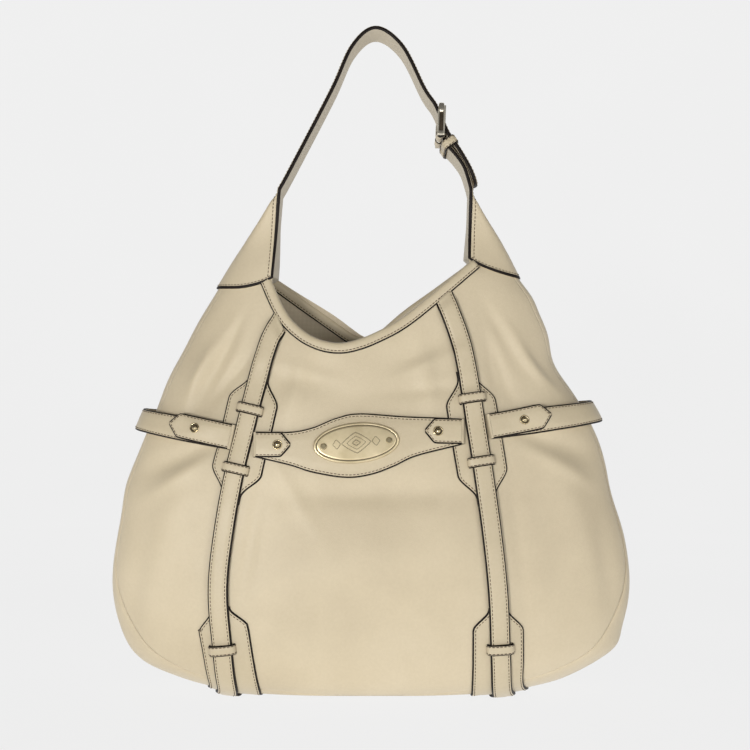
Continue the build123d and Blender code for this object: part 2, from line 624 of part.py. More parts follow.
with BuildPart() as strap_keeper:
    wide, deep = KEEPER_OPENING
    with BuildSketch(across_handle(KEEPER_AT, KEEPER_TOWARDS)):
        RectangleRounded(wide + 2 * KEEPER_WALL, deep + 2 * KEEPER_WALL, 2 * KEEPER_WALL)
        RectangleRounded(wide, deep, KEEPER_WALL, mode=Mode.SUBTRACT)
    extrude(amount=KEEPER_LENGTH / 2, both=True)
finish(strap_keeper.part, "strap_keeper")

# ---- buckle: a frame with a heel bar, and a prong that pivots on the bar
with BuildPart() as buckle_frame:
    with BuildSketch(frame_plane) as frame_outline:
        with Locations((0, BUCKLE_HEEL)):
            Rectangle(BUCKLE_WIDTH, BUCKLE_FAR_OUT - BUCKLE_HEEL, align=(Align.CENTER, Align.MIN))
        fillet(frame_outline.vertices().group_by(Axis.Y)[-1], radius=BUCKLE_FILLET)
        with Locations((0, BUCKLE_HEEL)):
            opening_length = BUCKLE_FAR_IN - BUCKLE_HEEL
            low_edge = (Align.CENTER, Align.MIN)
            Rectangle(BUCKLE_OPENING, opening_length, align=low_edge, mode=Mode.SUBTRACT)
    extrude(amount=BUCKLE_THICK / 2, both=True)
    chamfer(buckle_frame.edges().filter_by(GeomType.CIRCLE), length=BUCKLE_CHAMFER)
    with BuildSketch(side_plane):
        Circle(HEEL_BAR_R)
    extrude(amount=BUCKLE_WIDTH / 2 - HEEL_BAR_INSET, both=True)
finish(buckle_frame.part, "buckle_frame")

with BuildPart() as buckle_prong:
    with BuildSketch(side_plane):
        Circle(PRONG_EYE_R)
        with Locations((0, PRONG_FOOT)):
            Rectangle(PRONG_LENGTH, PRONG_THICK, align=(Align.MIN, Align.MIN))
        Circle(CHAPE_R_IN, mode=Mode.SUBTRACT)
    extrude(amount=PRONG_WIDTH / 2, both=True)
finish(buckle_prong.part, "buckle_prong")

# ---- zip pocket, hanging on the lining inside the back: x along the zip, y up, z into the bag
pocket_plane = Plane(
    origin=(0, ZIP_Y, ZIP_Z), x_dir=(1, 0, 0), z_dir=(0, -cos(radians(ZIP_TILT)), sin(radians(ZIP_TILT)))
)
pocket_middle = (0, (POCKET_ABOVE - POCKET_BELOW) / 2)
pocket_height = POCKET_ABOVE + POCKET_BELOW
with BuildPart() as zip_pocket:
    with BuildSketch(pocket_plane):
        with Locations(pocket_middle):
            RectangleRounded(POCKET_WIDTH, pocket_height, POCKET_CORNER)
    extrude(amount=-POCKET_DEPTH)
    with BuildSketch(pocket_plane.offset(-POCKET_WALL)):
        with Locations(pocket_middle):
            RectangleRounded(POCKET_WIDTH, pocket_height, POCKET_CORNER)
        offset(amount=-POCKET_WALL, mode=Mode.REPLACE)
    extrude(amount=2 * POCKET_WALL - POCKET_DEPTH, mode=Mode.SUBTRACT)
    with BuildSketch(pocket_plane):
        SlotOverall(2 * ZIP_HALF_LENGTH, ZIP_WINDOW)
    extrude(amount=-2 * POCKET_WALL, mode=Mode.SUBTRACT)
finish(zip_pocket.part, "zip_pocket")

with BuildPart() as zip_tapes:
    with BuildSketch(pocket_plane.offset(TAPE_LOW)):
        with Locations((0, (TAPE_FROM + TAPE_TO) / 2), (0, -(TAPE_FROM + TAPE_TO) / 2)):
            Rectangle(2 * (ZIP_HALF_LENGTH + TAPE_END), TAPE_TO - TAPE_FROM)
    extrude(amount=TAPE_HIGH - TAPE_LOW)
finish(zip_tapes.part, "zip_tapes")

with BuildPart() as zip_teeth:
    for row in (-1, 1):
        with BuildSketch(pocket_plane.offset(TOOTH_LOW)):
            with Locations((row * TOOTH_PITCH / 4, row * (TOOTH_FROM + TOOTH_TO) / 2)):
                with GridLocations(TOOTH_PITCH, 1, TEETH, 1):
                    Rectangle(TOOTH_LENGTH, TOOTH_TO - TOOTH_FROM)
        extrude(amount=TOOTH_HIGH - TOOTH_LOW)
    # room for the tapes, which the teeth grip
    slot_middle = TAPE_FROM - TAPE_CLEAR + TAPE_SLOT / 2
    with BuildSketch(pocket_plane.offset(TAPE_LOW - TAPE_CLEAR)):
        with Locations((0, slot_middle), (0, -slot_middle)):
            Rectangle(2 * ZIP_HALF_LENGTH, TAPE_SLOT)
    extrude(amount=TAPE_HIGH - TAPE_LOW + 2 * TAPE_CLEAR, mode=Mode.SUBTRACT)
    # a rail along each row joins its teeth, and a stop joins the rows at each end
    rail_middle = TOOTH_TO - TOOTH_RAIL / 2
    stop_middle = (TEETH * TOOTH_PITCH + STOP_LENGTH) / 2
    with BuildSketch(pocket_plane.offset(TAPE_HIGH + TAPE_CLEAR)):
        with Locations((0, rail_middle), (0, -rail_middle)):
            Rectangle(TEETH * TOOTH_PITCH, TOOTH_RAIL)
        with Locations((stop_middle, 0), (-stop_middle, 0)):
            Rectangle(STOP_LENGTH + STOP_OVERLAP, 2 * TOOTH_TO)
    extrude(amount=TOOTH_HIGH - TAPE_HIGH - TAPE_CLEAR)
finish(zip_teeth.part, "zip_teeth")

with BuildPart() as zip_slider:
    with BuildSketch(pocket_plane.offset(SLIDER_TOP)):
        with Locations((SLIDER_AT, 0)):
            RectangleRounded(SLIDER_LENGTH, SLIDER_WIDTH, SLIDER_FILLET)
    extrude(amount=SLIDER_PLATE)
    with BuildSketch(pocket_plane.offset(SLIDER_BOTTOM)):
        with Locations((SLIDER_AT, 0)):
            RectangleRounded(SLIDER_LENGTH, SLIDER_WIDTH, SLIDER_FILLET)
    extrude(amount=SLIDER_PLATE)
    with BuildSketch(pocket_plane.offset(SLIDER_BOTTOM)):
        with Locations((SLIDER_AT, 0)):
            Rectangle(SLIDER_POST_LENGTH, SLIDER_POST)
    extrude(amount=SLIDER_TOP - SLIDER_BOTTOM)
    with BuildSketch(pocket_plane.offset(SLIDER_TOP + SLIDER_PLATE)):
        with Locations((SLIDER_AT, 0)):
            Rectangle(BAIL_THICK, BAIL_SPAN)
    extrude(amount=BAIL_HEIGHT)
    with BuildSketch(pocket_plane.offset(SLIDER_TOP + SLIDER_PLATE)):
        with Locations((SLIDER_AT, 0)):
            Rectangle(BAIL_THICK, BAIL_SPAN - 2 * BAIL_WALL)
    extrude(amount=BAIL_HEIGHT - BAIL_WALL, mode=Mode.SUBTRACT)
finish(zip_slider.part, "zip_slider")

# the pull hangs from the slider's bail by a crossbar along the zip
bar_height = SLIDER_TOP + SLIDER_PLATE + (BAIL_HEIGHT - BAIL_WALL) / 2
with BuildPart() as zip_pull:
    with BuildSketch(pocket_plane.offset(bar_height - PULL_BAR_R)) as pull_outline:
        with Locations((SLIDER_AT, PULL_BAR_R)):
            Rectangle(PULL_WIDTH, PULL_TAB, align=(Align.CENTER, Align.MAX))
        fillet(pull_outline.vertices().group_by(Axis.Y)[0], radius=PULL_FILLET)
        with Locations((SLIDER_AT, -PULL_BAR_R)):
            eye_width = PULL_WIDTH - 2 * PULL_ARM
            Rectangle(eye_width, PULL_EYE, align=(Align.CENTER, Align.MAX), mode=Mode.SUBTRACT)
    extrude(amount=2 * PULL_BAR_R)
finish(zip_pull.part, "zip_pull")
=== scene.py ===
import json
import math

import bmesh
import bpy
import numpy as np
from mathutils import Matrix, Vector, noise


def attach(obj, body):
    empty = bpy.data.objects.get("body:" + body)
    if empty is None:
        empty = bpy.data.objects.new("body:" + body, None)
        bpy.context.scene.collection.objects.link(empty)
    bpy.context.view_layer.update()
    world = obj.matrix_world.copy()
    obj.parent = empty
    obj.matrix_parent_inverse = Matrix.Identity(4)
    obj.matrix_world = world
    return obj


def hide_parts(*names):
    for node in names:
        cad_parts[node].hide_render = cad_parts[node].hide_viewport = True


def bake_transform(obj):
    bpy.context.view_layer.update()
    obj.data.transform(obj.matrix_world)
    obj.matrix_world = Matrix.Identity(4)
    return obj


# A slouchy hobo bag. Everything below is in millimetres in the part's own frame, and becomes
# metres when a mesh is made. Front is -Y, and each outline is given as seen from the front.

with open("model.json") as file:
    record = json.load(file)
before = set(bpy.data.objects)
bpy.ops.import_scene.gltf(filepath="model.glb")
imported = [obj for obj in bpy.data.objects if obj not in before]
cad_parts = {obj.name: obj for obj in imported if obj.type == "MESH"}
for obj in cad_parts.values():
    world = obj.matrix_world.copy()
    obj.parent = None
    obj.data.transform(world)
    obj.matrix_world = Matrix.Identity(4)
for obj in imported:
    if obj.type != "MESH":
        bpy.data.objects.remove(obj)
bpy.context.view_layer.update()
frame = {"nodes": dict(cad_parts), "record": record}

MM = 0.001
BULGE = 2.4  # power of the rounded section: 2 would be an ellipse
LEATHER = 2.0
SHELL_TOP = 396.0  # where the panels and the gusset end, inside the horns
LEVELS = np.array([  # height, half width, half depth of the bag form, as in the CAD
    (4.6, 122, 42), (14, 156, 51), (28, 186, 57), (50, 206, 60), (92, 214.5, 61), (150, 206, 57),
    (205, 190, 50), (255, 165.5, 41), (300, 146.5, 33), (335, 126, 28), (375, 103, 22), (425, 76, 15),
], float)
GUSSET = [(0, 44), (110, 16), (300, 11), (500, 4)]
HINGE_Z, LEAN = 419.0, math.radians(7)


# ---------------------------------------------------------------- helpers for curves and numbers
def smooth(t):
    t = min(1.0, max(0.0, t))
    return t * t * (3 - 2 * t)


def spline(points, samples=24):
    """Points along a Catmull-Rom curve through the given points, of any dimension."""
    p = np.array(points, float)
    p = np.vstack([2 * p[0] - p[1], p, 2 * p[-1] - p[-2]])
    out = []
    for i in range(1, len(p) - 2):
        for k in range(samples):
            t = k / samples
            a, b, c, d = p[i - 1], p[i], p[i + 1], p[i + 2]
            out.append(0.5 * (2 * b + (c - a) * t + (2 * a - 5 * b + 4 * c - d) * t**2
                              + (3 * b - a - 3 * c + d) * t**3))
    out.append(p[-2])
    return np.array(out)


def run_along(points):
    """Distance along a line to each of its points."""
    return np.concatenate([[0], np.cumsum(np.linalg.norm(np.diff(points, axis=0), axis=1))])


def even(points, step):
    """The same line with points at even steps."""
    p = np.array(points, float)
    run = run_along(p)
    count = max(2, int(round(run[-1] / step)) + 1)
    at = np.linspace(0, run[-1], count)
    return np.stack([np.interp(at, run, p[:, k]) for k in range(p.shape[1])], axis=1)


def left_normals(p):
    """Unit normals to the left of a line of 2-D points."""
    t = np.gradient(p, axis=0)
    t /= np.linalg.norm(t, axis=1)[:, None]
    return np.stack([-t[:, 1], t[:, 0]], axis=1)


TABLE_Z = np.linspace(4.6, 425, 900)
_fine = spline(LEVELS, 40)
TABLE_A = np.interp(TABLE_Z, _fine[:, 0], _fine[:, 1])
TABLE_B = np.interp(TABLE_Z, _fine[:, 0], _fine[:, 2])
TABLE_DA = np.gradient(TABLE_A, TABLE_Z)
TABLE_DB = np.gradient(TABLE_B, TABLE_Z)


def half_sizes(z):
    return (np.interp(z, TABLE_Z, TABLE_A), np.interp(z, TABLE_Z, TABLE_B),
            np.interp(z, TABLE_Z, TABLE_DA), np.interp(z, TABLE_Z, TABLE_DB))


# ---------------------------------------------------------------- the leather's soft shape
# folds and hollows of the slack leather: x, z, direction in degrees, half length, half width, height
FRONT_FOLDS = [
    (-118, 282, 62, 46, 9, -3.2),
    (-104, 300, 66, 40, 8, 2.0),
    (-138, 262, 58, 34, 10, 1.8),
    (-40, 262, 8, 44, 14, -2.6),
    (20, 268, 30, 46, 13, -2.2),
    (112, 292, -60, 44, 9, -2.6),
    (128, 268, -66, 40, 10, 2.0),
    (100, 262, -75, 30, 7, -1.8),
    (-60, 252, 75, 30, 7, 1.8),
    (45, 258, -80, 32, 8, 1.6),
    (0, 168, 0, 70, 10, -1.6),
    (-150, 196, 20, 40, 9, -2.0),
    (150, 206, -18, 40, 9, -2.0),
    (-160, 150, 70, 50, 16, 1.5),
    (165, 150, -70, 55, 16, 1.5),
    (-20, 110, 4, 90, 30, 1.8),
    (-95, 130, 80, 60, 6, -1.2),
    (118, 120, -84, 60, 6, -1.2),
    (-190, 90, 80, 40, 10, -1.2),
    (192, 100, -80, 40, 10, -1.4),
    (-120, 290, 62, 34, 5, 1.5),
    (-110, 262, 50, 28, 4.5, -1.4),
    (-138, 262, 68, 30, 5, 1.2),
    (-40, 262, -14, 34, 6, 1.3),
    (34, 268, 20, 36, 5.5, 1.3),
    (44, 250, 4, 40, 5, -1.1),
    (118, 290, -58, 40, 5, 1.4),
    (106, 264, -70, 32, 5, -1.5),
    (140, 262, -48, 26, 4.5, 1.1),
    (-62, 168, -58, 36, 6, 1.0),
    (60, 170, 60, 40, 6, 1.0),
    (-150, 184, 34, 36, 6, 1.3),
    (152, 190, -30, 36, 6, 1.3),
]
BACK_FOLDS = [
    (-110, 288, 64, 46, 10, -2.6), (116, 286, -62, 44, 10, -2.8), (0, 262, 2, 60, 15, -2.4),
    (0, 166, 0, 70, 11, -1.6), (-150, 200, 18, 40, 9, -1.8), (150, 204, -16, 40, 9, -1.8),
    (30, 108, -3, 90, 30, 1.8), (-165, 148, 70, 50, 16, 1.4), (165, 152, -70, 52, 16, 1.4),
]


SNAP_AT = (-7, 266)  # the leather lies flat round the magnetic snap


def slack(side, x, z):
    """How far the leather stands out from the form, in mm, on the front (-1) or the back (1)."""
    out = 0.0
    for fx, fz, turn, along, across, height in FRONT_FOLDS if side < 0 else BACK_FOLDS:
        c, s = math.cos(math.radians(turn)), math.sin(math.radians(turn))
        u, v = (x - fx) * c + (z - fz) * s, -(x - fx) * s + (z - fz) * c
        out += 1.6 * height * math.exp(-((u / along) ** 2) - (v / across) ** 2)
    wave = noise.noise(Vector((x * 0.011, z * 0.013, 3.1 * side))) + 0.5 * noise.noise(
        Vector((x * 0.031, z * 0.027, 9.7 * side)))
    out += 1.1 * wave * smooth((z - 20) / 60)
    near_snap = math.exp(-((x - SNAP_AT[0]) ** 2 + (z - SNAP_AT[1]) ** 2) / 900)
    return max(-3.4, out) * smooth((343 - z) / 45) * (1 - near_snap)


SIDE_FOLDS = {
    -1: [(258, 4.5, 24), (172, 2.5, 20), (24, 5.5, 15), (4, 6.0, 9)],
    1: [(374, 5.5, 20), (327, 3.0, 12), (272, -6.5, 20), (165, -3.5, 24), (36, 5.0, 13), (8, 10.0, 12)],
}


def sideways(way, z):
    """How far the bag's left (-1) or right (1) edge stands out from the form."""
    return sum(d * math.exp(-(((z - at) / spread) ** 2)) for at, d, spread in SIDE_FOLDS[way])


def on_side(side, x, z, out=0.0, loose=True, wider=0.0):
    """Point and outward normal on the front (-1) or back (1) at (x, z), that far out of the leather."""
    a, b, da, db = half_sizes(z)
    a += wider
    x = max(-0.9995 * a, min(0.9995 * a, x))
    u = abs(x / a)
    y = b * (1 - u**BULGE) ** (1 / BULGE)
    n = Vector((BULGE * u ** (BULGE - 1) / a * (1 if x > 0 else -1), side * BULGE * (y / b) ** (BULGE - 1) / b,
                -BULGE * (u**BULGE * da / a + (y / b) ** BULGE * db / b)))
    n.normalize()
    way = 1 if x > 0 else -1
    if loose:
        out += slack(side, x, z) * min(1.0, y / b * 1.6)
    return Vector((x + way * sideways(way, z) * u**6, side * y, z)) + n * out, n


def at_angle(angle, z, out=0.0, loose=True, wider=0.0):
    """The same by angle round the section: 0 is the middle of the front, 90 degrees the right side."""
    a, b, da, db = half_sizes(z)
    a += wider
    s, c = math.sin(angle), math.cos(angle)
    x = a * abs(s) ** (2 / BULGE) * (1 if s > 0 else -1)
    y = -b * abs(c) ** (2 / BULGE) * (1 if c > 0 else -1)
    u, v = abs(x / a), abs(y / b)
    n = Vector((u ** (BULGE - 1) / a * (1 if x > 0 else -1), v ** (BULGE - 1) / b * (1 if y > 0 else -1),
                -(u**BULGE * da / a + v**BULGE * db / b)))
    n.normalize()
    if loose:
        side = -1 if y < 0 else 1
        out += slack(side, x, z) * min(1.0, v * 1.6)
    way = 1 if x > 0 else -1
    return Vector((x + way * sideways(way, z) * u**6, y, z)) + n * out, n


def gusset_half(z):
    return float(np.interp(z, [g[0] for g in GUSSET], [g[1] for g in GUSSET]))


def seam_angle(z):
    """Angle of the seam between a panel and the gusset, from the middle of the panel."""
    b = half_sizes(z)[1]
    return math.acos(min(1.0, (gusset_half(z) / b) ** (BULGE / 2)))


FRONT_RIM = spline([(-86, 349), (-80, 336), (-72, 318.5), (-63, 305.5), (-50, 294.8), (-36, 289.2), (-22, 288.2),
                    (-8, 291.6), (6, 297.6), (20, 305), (34, 315), (58, 335), (72, 347), (88, 361)], 12)
BACK_RIM = spline([(-86, 347.5), (-60, 328.5), (-30, 307.5), (-14, 297), (-4, 294.5), (6, 298.5), (28, 317),
                   (56, 337), (88, 360.5)], 12)


def rim_height(rim, x):
    if abs(x) > 84:
        return SHELL_TOP
    base = float(np.interp(x, rim[:, 0], rim[:, 1]))
    return base + (SHELL_TOP - base) * smooth((abs(x) - 80) / 4)


# ---------------------------------------------------------------- meshes
def new_piece(name, verts, faces, materials, slots=None, closed=False):
    """A mesh object from millimetre points. slots gives each face's material."""
    mesh = bpy.data.meshes.new(name)
    mesh.from_pydata([tuple(c * MM for c in v) for v in verts], [], faces)
    for m in materials:
        mesh.materials.append(m)
    if slots is not None:
        mesh.polygons.foreach_set("material_index", slots)
    mesh.polygons.foreach_set("use_smooth", [True] * len(mesh.polygons))
    mesh.validate()
    if closed:
        work = bmesh.new()
        work.from_mesh(mesh)
        bmesh.ops.recalc_face_normals(work, faces=work.faces)
        work.to_mesh(mesh)
        work.free()
    mesh.update()
    obj = bpy.data.objects.new(name, mesh)
    bpy.context.collection.objects.link(obj)
    return obj


def grid_faces(rows, cols, start=0, close=False, flip=False):
    faces = []
    for i in range(rows - 1):
        for j in range(cols if close else cols - 1):
            k = (j + 1) % cols
            near, far = start + i * cols, start + (i + 1) * cols
            f = (near + j, near + k, far + k, far + j)
            faces.append(f[::-1] if flip else f)
    return faces


def end_caps(rows, cols):
    """The two faces that close the ends of a grid of closed rows."""
    return [tuple(range(cols))[::-1], tuple((rows - 1) * cols + j for j in range(cols))]


def modifier(obj, kind, **settings):
    m = obj.modifiers.new(kind.title(), kind)
    for k, v in settings.items():
        setattr(m, k, v)
    return m


def declare(obj, body, slot, *nodes):
    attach(obj, body)
    if nodes:
        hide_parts(*nodes)
    return obj


# ---------------------------------------------------------------- materials
def material(name):
    m = bpy.data.materials.new(name)
    m.use_nodes = True
    tree = m.node_tree
    shader = tree.nodes["Principled BSDF"]
    return m, tree, shader


def node(tree, kind, **settings):
    n = tree.nodes.new(kind)
    for k, v in settings.items():
        if k in n.inputs:
            n.inputs[k].default_value = v
        else:
            setattr(n, k, v)
    return n


def ramp(tree, source, stops):
    r = tree.nodes.new("ShaderNodeValToRGB")
    r.color_ramp.elements[0].position, r.color_ramp.elements[0].color = stops[0]
    r.color_ramp.elements[1].position, r.color_ramp.elements[1].color = stops[-1]
    for position, colour in stops[1:-1]:
        e = r.color_ramp.elements.new(position)
        e.color = colour
    tree.links.new(source, r.inputs["Fac"])
    return r.outputs["Color"]


def leather(name, light, mid, dark, rough=(0.42, 0.6), grain=0.16, sheen=0.15):
    m, tree, shader = material(name)
    where = node(tree, "ShaderNodeTexCoord").outputs["Object"]
    cloud = node(tree, "ShaderNodeTexNoise", Scale=9.0, Detail=5.0, Roughness=0.55)
    fine = node(tree, "ShaderNodeTexNoise", Scale=420.0, Detail=4.0, Roughness=0.6)
    pores = node(tree, "ShaderNodeTexVoronoi", Scale=900.0)
    pores.feature = "DISTANCE_TO_EDGE"
    crease = node(tree, "ShaderNodeTexNoise", Scale=60.0, Detail=6.0, Roughness=0.7, Distortion=0.6)
    for n in (cloud, fine, pores, crease):
        tree.links.new(where, n.inputs["Vector"])
    colour = ramp(tree, cloud.outputs["Fac"], [(0.3, (*dark, 1)), (0.5, (*mid, 1)), (0.72, (*light, 1))])
    speck = node(tree, "ShaderNodeMix", data_type="RGBA", blend_type="MULTIPLY")
    speck.inputs[0].default_value = 0.12
    tree.links.new(colour, speck.inputs[6])
    specks = ramp(tree, fine.outputs["Fac"], [(0.35, (0.72, 0.68, 0.6, 1)), (0.65, (1, 1, 1, 1))])
    tree.links.new(specks, speck.inputs[7])
    tree.links.new(speck.outputs[2], shader.inputs["Base Color"])
    span = node(tree, "ShaderNodeMapRange")
    span.inputs["To Min"].default_value, span.inputs["To Max"].default_value = rough
    tree.links.new(crease.outputs["Fac"], span.inputs["Value"])
    tree.links.new(span.outputs["Result"], shader.inputs["Roughness"])
    add = node(tree, "ShaderNodeMath", operation="MULTIPLY_ADD")
    tree.links.new(pores.outputs["Distance"], add.inputs[0])
    add.inputs[1].default_value = 1.6
    tree.links.new(fine.outputs["Fac"], add.inputs[2])
    bump = node(tree, "ShaderNodeBump", Strength=grain, Distance=0.0004)
    tree.links.new(add.outputs["Value"], bump.inputs["Height"])
    broad = node(tree, "ShaderNodeBump", Strength=0.12, Distance=0.0012)
    tree.links.new(crease.outputs["Fac"], broad.inputs["Height"])
    tree.links.new(bump.outputs["Normal"], broad.inputs["Normal"])
    tree.links.new(broad.outputs["Normal"], shader.inputs["Normal"])
    shader.inputs["Sheen Weight"].default_value = sheen
    shader.inputs["Sheen Roughness"].default_value = 0.5
    shader.inputs["Specular IOR Level"].default_value = 0.42
    return m


def plain(name, low, high, scale, rough=(0.4, 0.6), metallic=0.0, bump=0.1, specular=0.5):
    m, tree, shader = material(name)
    where = node(tree, "ShaderNodeTexCoord").outputs["Object"]
    cloud = node(tree, "ShaderNodeTexNoise", Scale=scale, Detail=5.0, Roughness=0.6)
    tree.links.new(where, cloud.inputs["Vector"])
    colour = ramp(tree, cloud.outputs["Fac"], [(0.3, (*low, 1)), (0.7, (*high, 1))])
    tree.links.new(colour, shader.inputs["Base Color"])
    span = node(tree, "ShaderNodeMapRange")
    span.inputs["To Min"].default_value, span.inputs["To Max"].default_value = rough
    tree.links.new(cloud.outputs["Fac"], span.inputs["Value"])
    tree.links.new(span.outputs["Result"], shader.inputs["Roughness"])
    b = node(tree, "ShaderNodeBump", Strength=bump, Distance=0.0003)
    tree.links.new(cloud.outputs["Fac"], b.inputs["Height"])
    tree.links.new(b.outputs["Normal"], shader.inputs["Normal"])
    shader.inputs["Metallic"].default_value = metallic
    shader.inputs["Specular IOR Level"].default_value = specular
    return m


def cloth(name, low, high, pitch=0.0011):
    m, tree, shader = material(name)
    where = node(tree, "ShaderNodeTexCoord").outputs["Object"]
    height = None
    for axis in ("X", "Z"):
        wave = node(tree, "ShaderNodeTexWave", Scale=1 / pitch / 3.2, Distortion=0.6, Detail=1.0)
        wave.bands_direction = axis
        tree.links.new(where, wave.inputs["Vector"])
        if height is None:
            height = wave.outputs["Fac"]
        else:
            add = node(tree, "ShaderNodeMath", operation="MULTIPLY")
            tree.links.new(height, add.inputs[0])
            tree.links.new(wave.outputs["Fac"], add.inputs[1])
            height = add.outputs["Value"]
    tree.links.new(ramp(tree, height, [(0.0, (*low, 1)), (0.8, (*high, 1))]), shader.inputs["Base Color"])
    b = node(tree, "ShaderNodeBump", Strength=0.5, Distance=0.0003)
    tree.links.new(height, b.inputs["Height"])
    tree.links.new(b.outputs["Normal"], shader.inputs["Normal"])
    shader.inputs["Roughness"].default_value = 0.85
    shader.inputs["Sheen Weight"].default_value = 0.4
    return m


BODY = leather("body_leather", (0.64, 0.545, 0.385), (0.6, 0.507, 0.349), (0.54, 0.452, 0.308))
TRIM = leather("trim_leather", (0.58, 0.493, 0.343), (0.555, 0.468, 0.318), (0.51, 0.428, 0.289),
               rough=(0.38, 0.55))
INNER = leather("strap_lining_leather", (0.56, 0.49, 0.37), (0.52, 0.455, 0.34), (0.47, 0.41, 0.305),
                rough=(0.5, 0.7))
EDGE = plain("edge_paint", (0.006, 0.004, 0.003), (0.014, 0.009, 0.007), 160, rough=(0.4, 0.6), specular=0.18)
THREAD = plain("dark_thread", (0.045, 0.026, 0.016), (0.1, 0.06, 0.036), 900,
               rough=(0.6, 0.8), bump=0.5, specular=0.2)
LINING = cloth("lining_cloth", (0.55, 0.46, 0.32), (0.76, 0.66, 0.49))
TAPE = cloth("zip_tape_cloth", (0.14, 0.11, 0.08), (0.24, 0.19, 0.14), 0.0008)
GOLD = plain("pale_gold", (0.46, 0.38, 0.23), (0.58, 0.49, 0.31), 70,
             rough=(0.16, 0.3), metallic=1.0, bump=0.05)
# near-black gold painted into the studs' grooves, the plaque's groove and motif lines and the buckle's side recesses:
# painted shade in the recesses
RECESS_SHADE_GOLD = plain("gold_recess_shade", (0.035, 0.025, 0.013), (0.07, 0.05, 0.028), 200,
                rough=(0.35, 0.55), metallic=0.5, bump=0.1)
PLATE = plain("plaque_gold", (0.58, 0.48, 0.29), (0.72, 0.61, 0.4), 60,
              rough=(0.26, 0.4), metallic=0.7, bump=0.05)
BUCKLE = plain("buckle_metal", (0.72, 0.66, 0.53), (0.82, 0.76, 0.63), 70,
               rough=(0.14, 0.25), metallic=0.9, bump=0.05)
STEEL = plain("snap_steel", (0.55, 0.53, 0.5), (0.68, 0.66, 0.63), 90,
              rough=(0.2, 0.35), metallic=1.0, bump=0.05)
BOARD = plain("pressed_board", (0.22, 0.16, 0.1), (0.34, 0.26, 0.17), 300, rough=(0.8, 0.95), bump=0.4)


# ---------------------------------------------------------------- leather body
def column_top(side_rim, s):
    """Height at which a panel's column meets the rim."""
    low, high = 250.0, SHELL_TOP
    for _ in range(24):
        z = (low + high) / 2
        a = half_sizes(z)[0]
        x = a * abs(math.sin(s * seam_angle(z))) ** (2 / BULGE) * (1 if s > 0 else -1)
        if z > rim_height(side_rim, x) - 3.0:
            high = z
        else:
            low = z
    return (low + high) / 2


BOTTOM = 5.6
ROWS = np.linspace(0, 1, 112) ** 1.25


def under_horn(z):
    """The panels draw in under the horns."""
    return -3.2 * smooth((z - 346) / 16)


def seam_dip(away, spread, z):
    """The crease along a seam, shallower higher up. away is the share of the width from the seam."""
    return -1.1 * math.exp(-((away / spread) ** 2)) * (1 - 0.75 * smooth((z - 130) / 120))


def panel(side, rim, name):
    inner = np.linspace(-0.965, 0.965, 151)
    columns = [-1, -0.988, -0.976] + list(inner) + [0.976, 0.988, 1]
    verts = []
    tops = [column_top(rim, s) for s in columns]
    for t in ROWS:
        for s, top in zip(columns, tops):
            z = BOTTOM + (top - BOTTOM) * t
            angle = s * seam_angle(z)
            dip = seam_dip(1 - abs(s), 0.012, z)
            if side < 0:
                p, n = at_angle(angle, z)
            else:
                p, n = at_angle(math.pi - angle, z)
            verts.append(p + n * (dip + under_horn(z)))
    obj = new_piece(name, verts, grid_faces(len(ROWS), len(columns), flip=side > 0), [BODY, INNER])
    modifier(obj, "SOLIDIFY", thickness=LEATHER * MM, offset=-1, material_offset=1, use_rim=True)
    return obj


declare(panel(-1, FRONT_RIM, "front_panel_leather"), "bag", "body_leather", "front_panel")
declare(panel(1, BACK_RIM, "back_panel_leather"), "bag", "body_leather", "back_panel")


def gusset_piece():
    verts, faces, rings = [], [], {}
    across = 29
    for side in (-1, 1):
        start = len(verts)
        for t in ROWS:
            z = BOTTOM + (SHELL_TOP - BOTTOM) * t
            seam = seam_angle(z)
            for k in range(across):
                f = k / (across - 1)
                angle = seam + (math.pi - 2 * seam) * f
                edge = min(f, 1 - f)
                dip = seam_dip(edge, 0.035, z)
                p, n = at_angle(side * angle, z)
                verts.append(p + n * (dip + under_horn(z)))
        faces += grid_faces(len(ROWS), across, start, flip=side < 0)
        rings[side] = list(range(start, start + across))
    loop = rings[1] + rings[-1][::-1]
    previous = loop
    for shrink, z in ((0.985, 4.75), (0.9, 4.6), (0.6, 4.6), (0.3, 4.6)):
        ring = []
        for i in loop:
            v = verts[i]
            ring.append(len(verts))
            verts.append(Vector((v.x * shrink, v.y * shrink, z)))
        for k in range(len(loop)):
            j = (k + 1) % len(loop)
            faces.append((previous[k], ring[k], ring[j], previous[j]))
        previous = ring
    faces.append(tuple(previous[::-1]))
    obj = new_piece("gusset_leather", verts, faces, [BODY, INNER])
    modifier(obj, "SOLIDIFY", thickness=LEATHER * MM, offset=-1, material_offset=1)
    return obj


declare(gusset_piece(), "bag", "body_leather", "gusset")


def lining_piece():
    """The lining hangs just inside the leather, up to the rims and into the horns."""
    verts = []
    columns = np.linspace(-1, 1, 81)
    around = []
    for side, rim in ((-1, FRONT_RIM), (1, BACK_RIM)):
        tops = [column_top(rim, s) for s in columns[:-1]]
        around += [(side, s, top) for s, top in zip(columns[:-1], tops)]
    heights = np.linspace(0, 1, 50)
    for t in heights:
        for side, s, top in around:
            z = 12 + (top - 12) * t
            quarter = s * math.pi / 2
            angle = quarter if side < 0 else math.pi + quarter
            p, n = at_angle(angle, z)
            verts.append(p - n * (3.3 + 3.4 * smooth((z - 350) / 14)))
    count = len(around)
    faces = grid_faces(len(heights), count, close=True)
    centre = len(verts)
    verts.append(Vector((0, 0, 11)))
    for k in range(count):
        faces.append((centre, (k + 1) % count, k))
    return new_piece("lining_shell", verts, faces, [LINING])


declare(lining_piece(), "bag", "lining_cloth", "lining")


# ---------------------------------------------------------------- stitched strips laid on the bag
# share of a stitch's length, height and width there
STITCH_SECTIONS = [(0.0, -0.35, 0.45), (0.16, 0.55, 0.95), (0.5, 1.0, 1.0), (0.84, 0.55, 0.95), (1.0, -0.35, 0.45)]


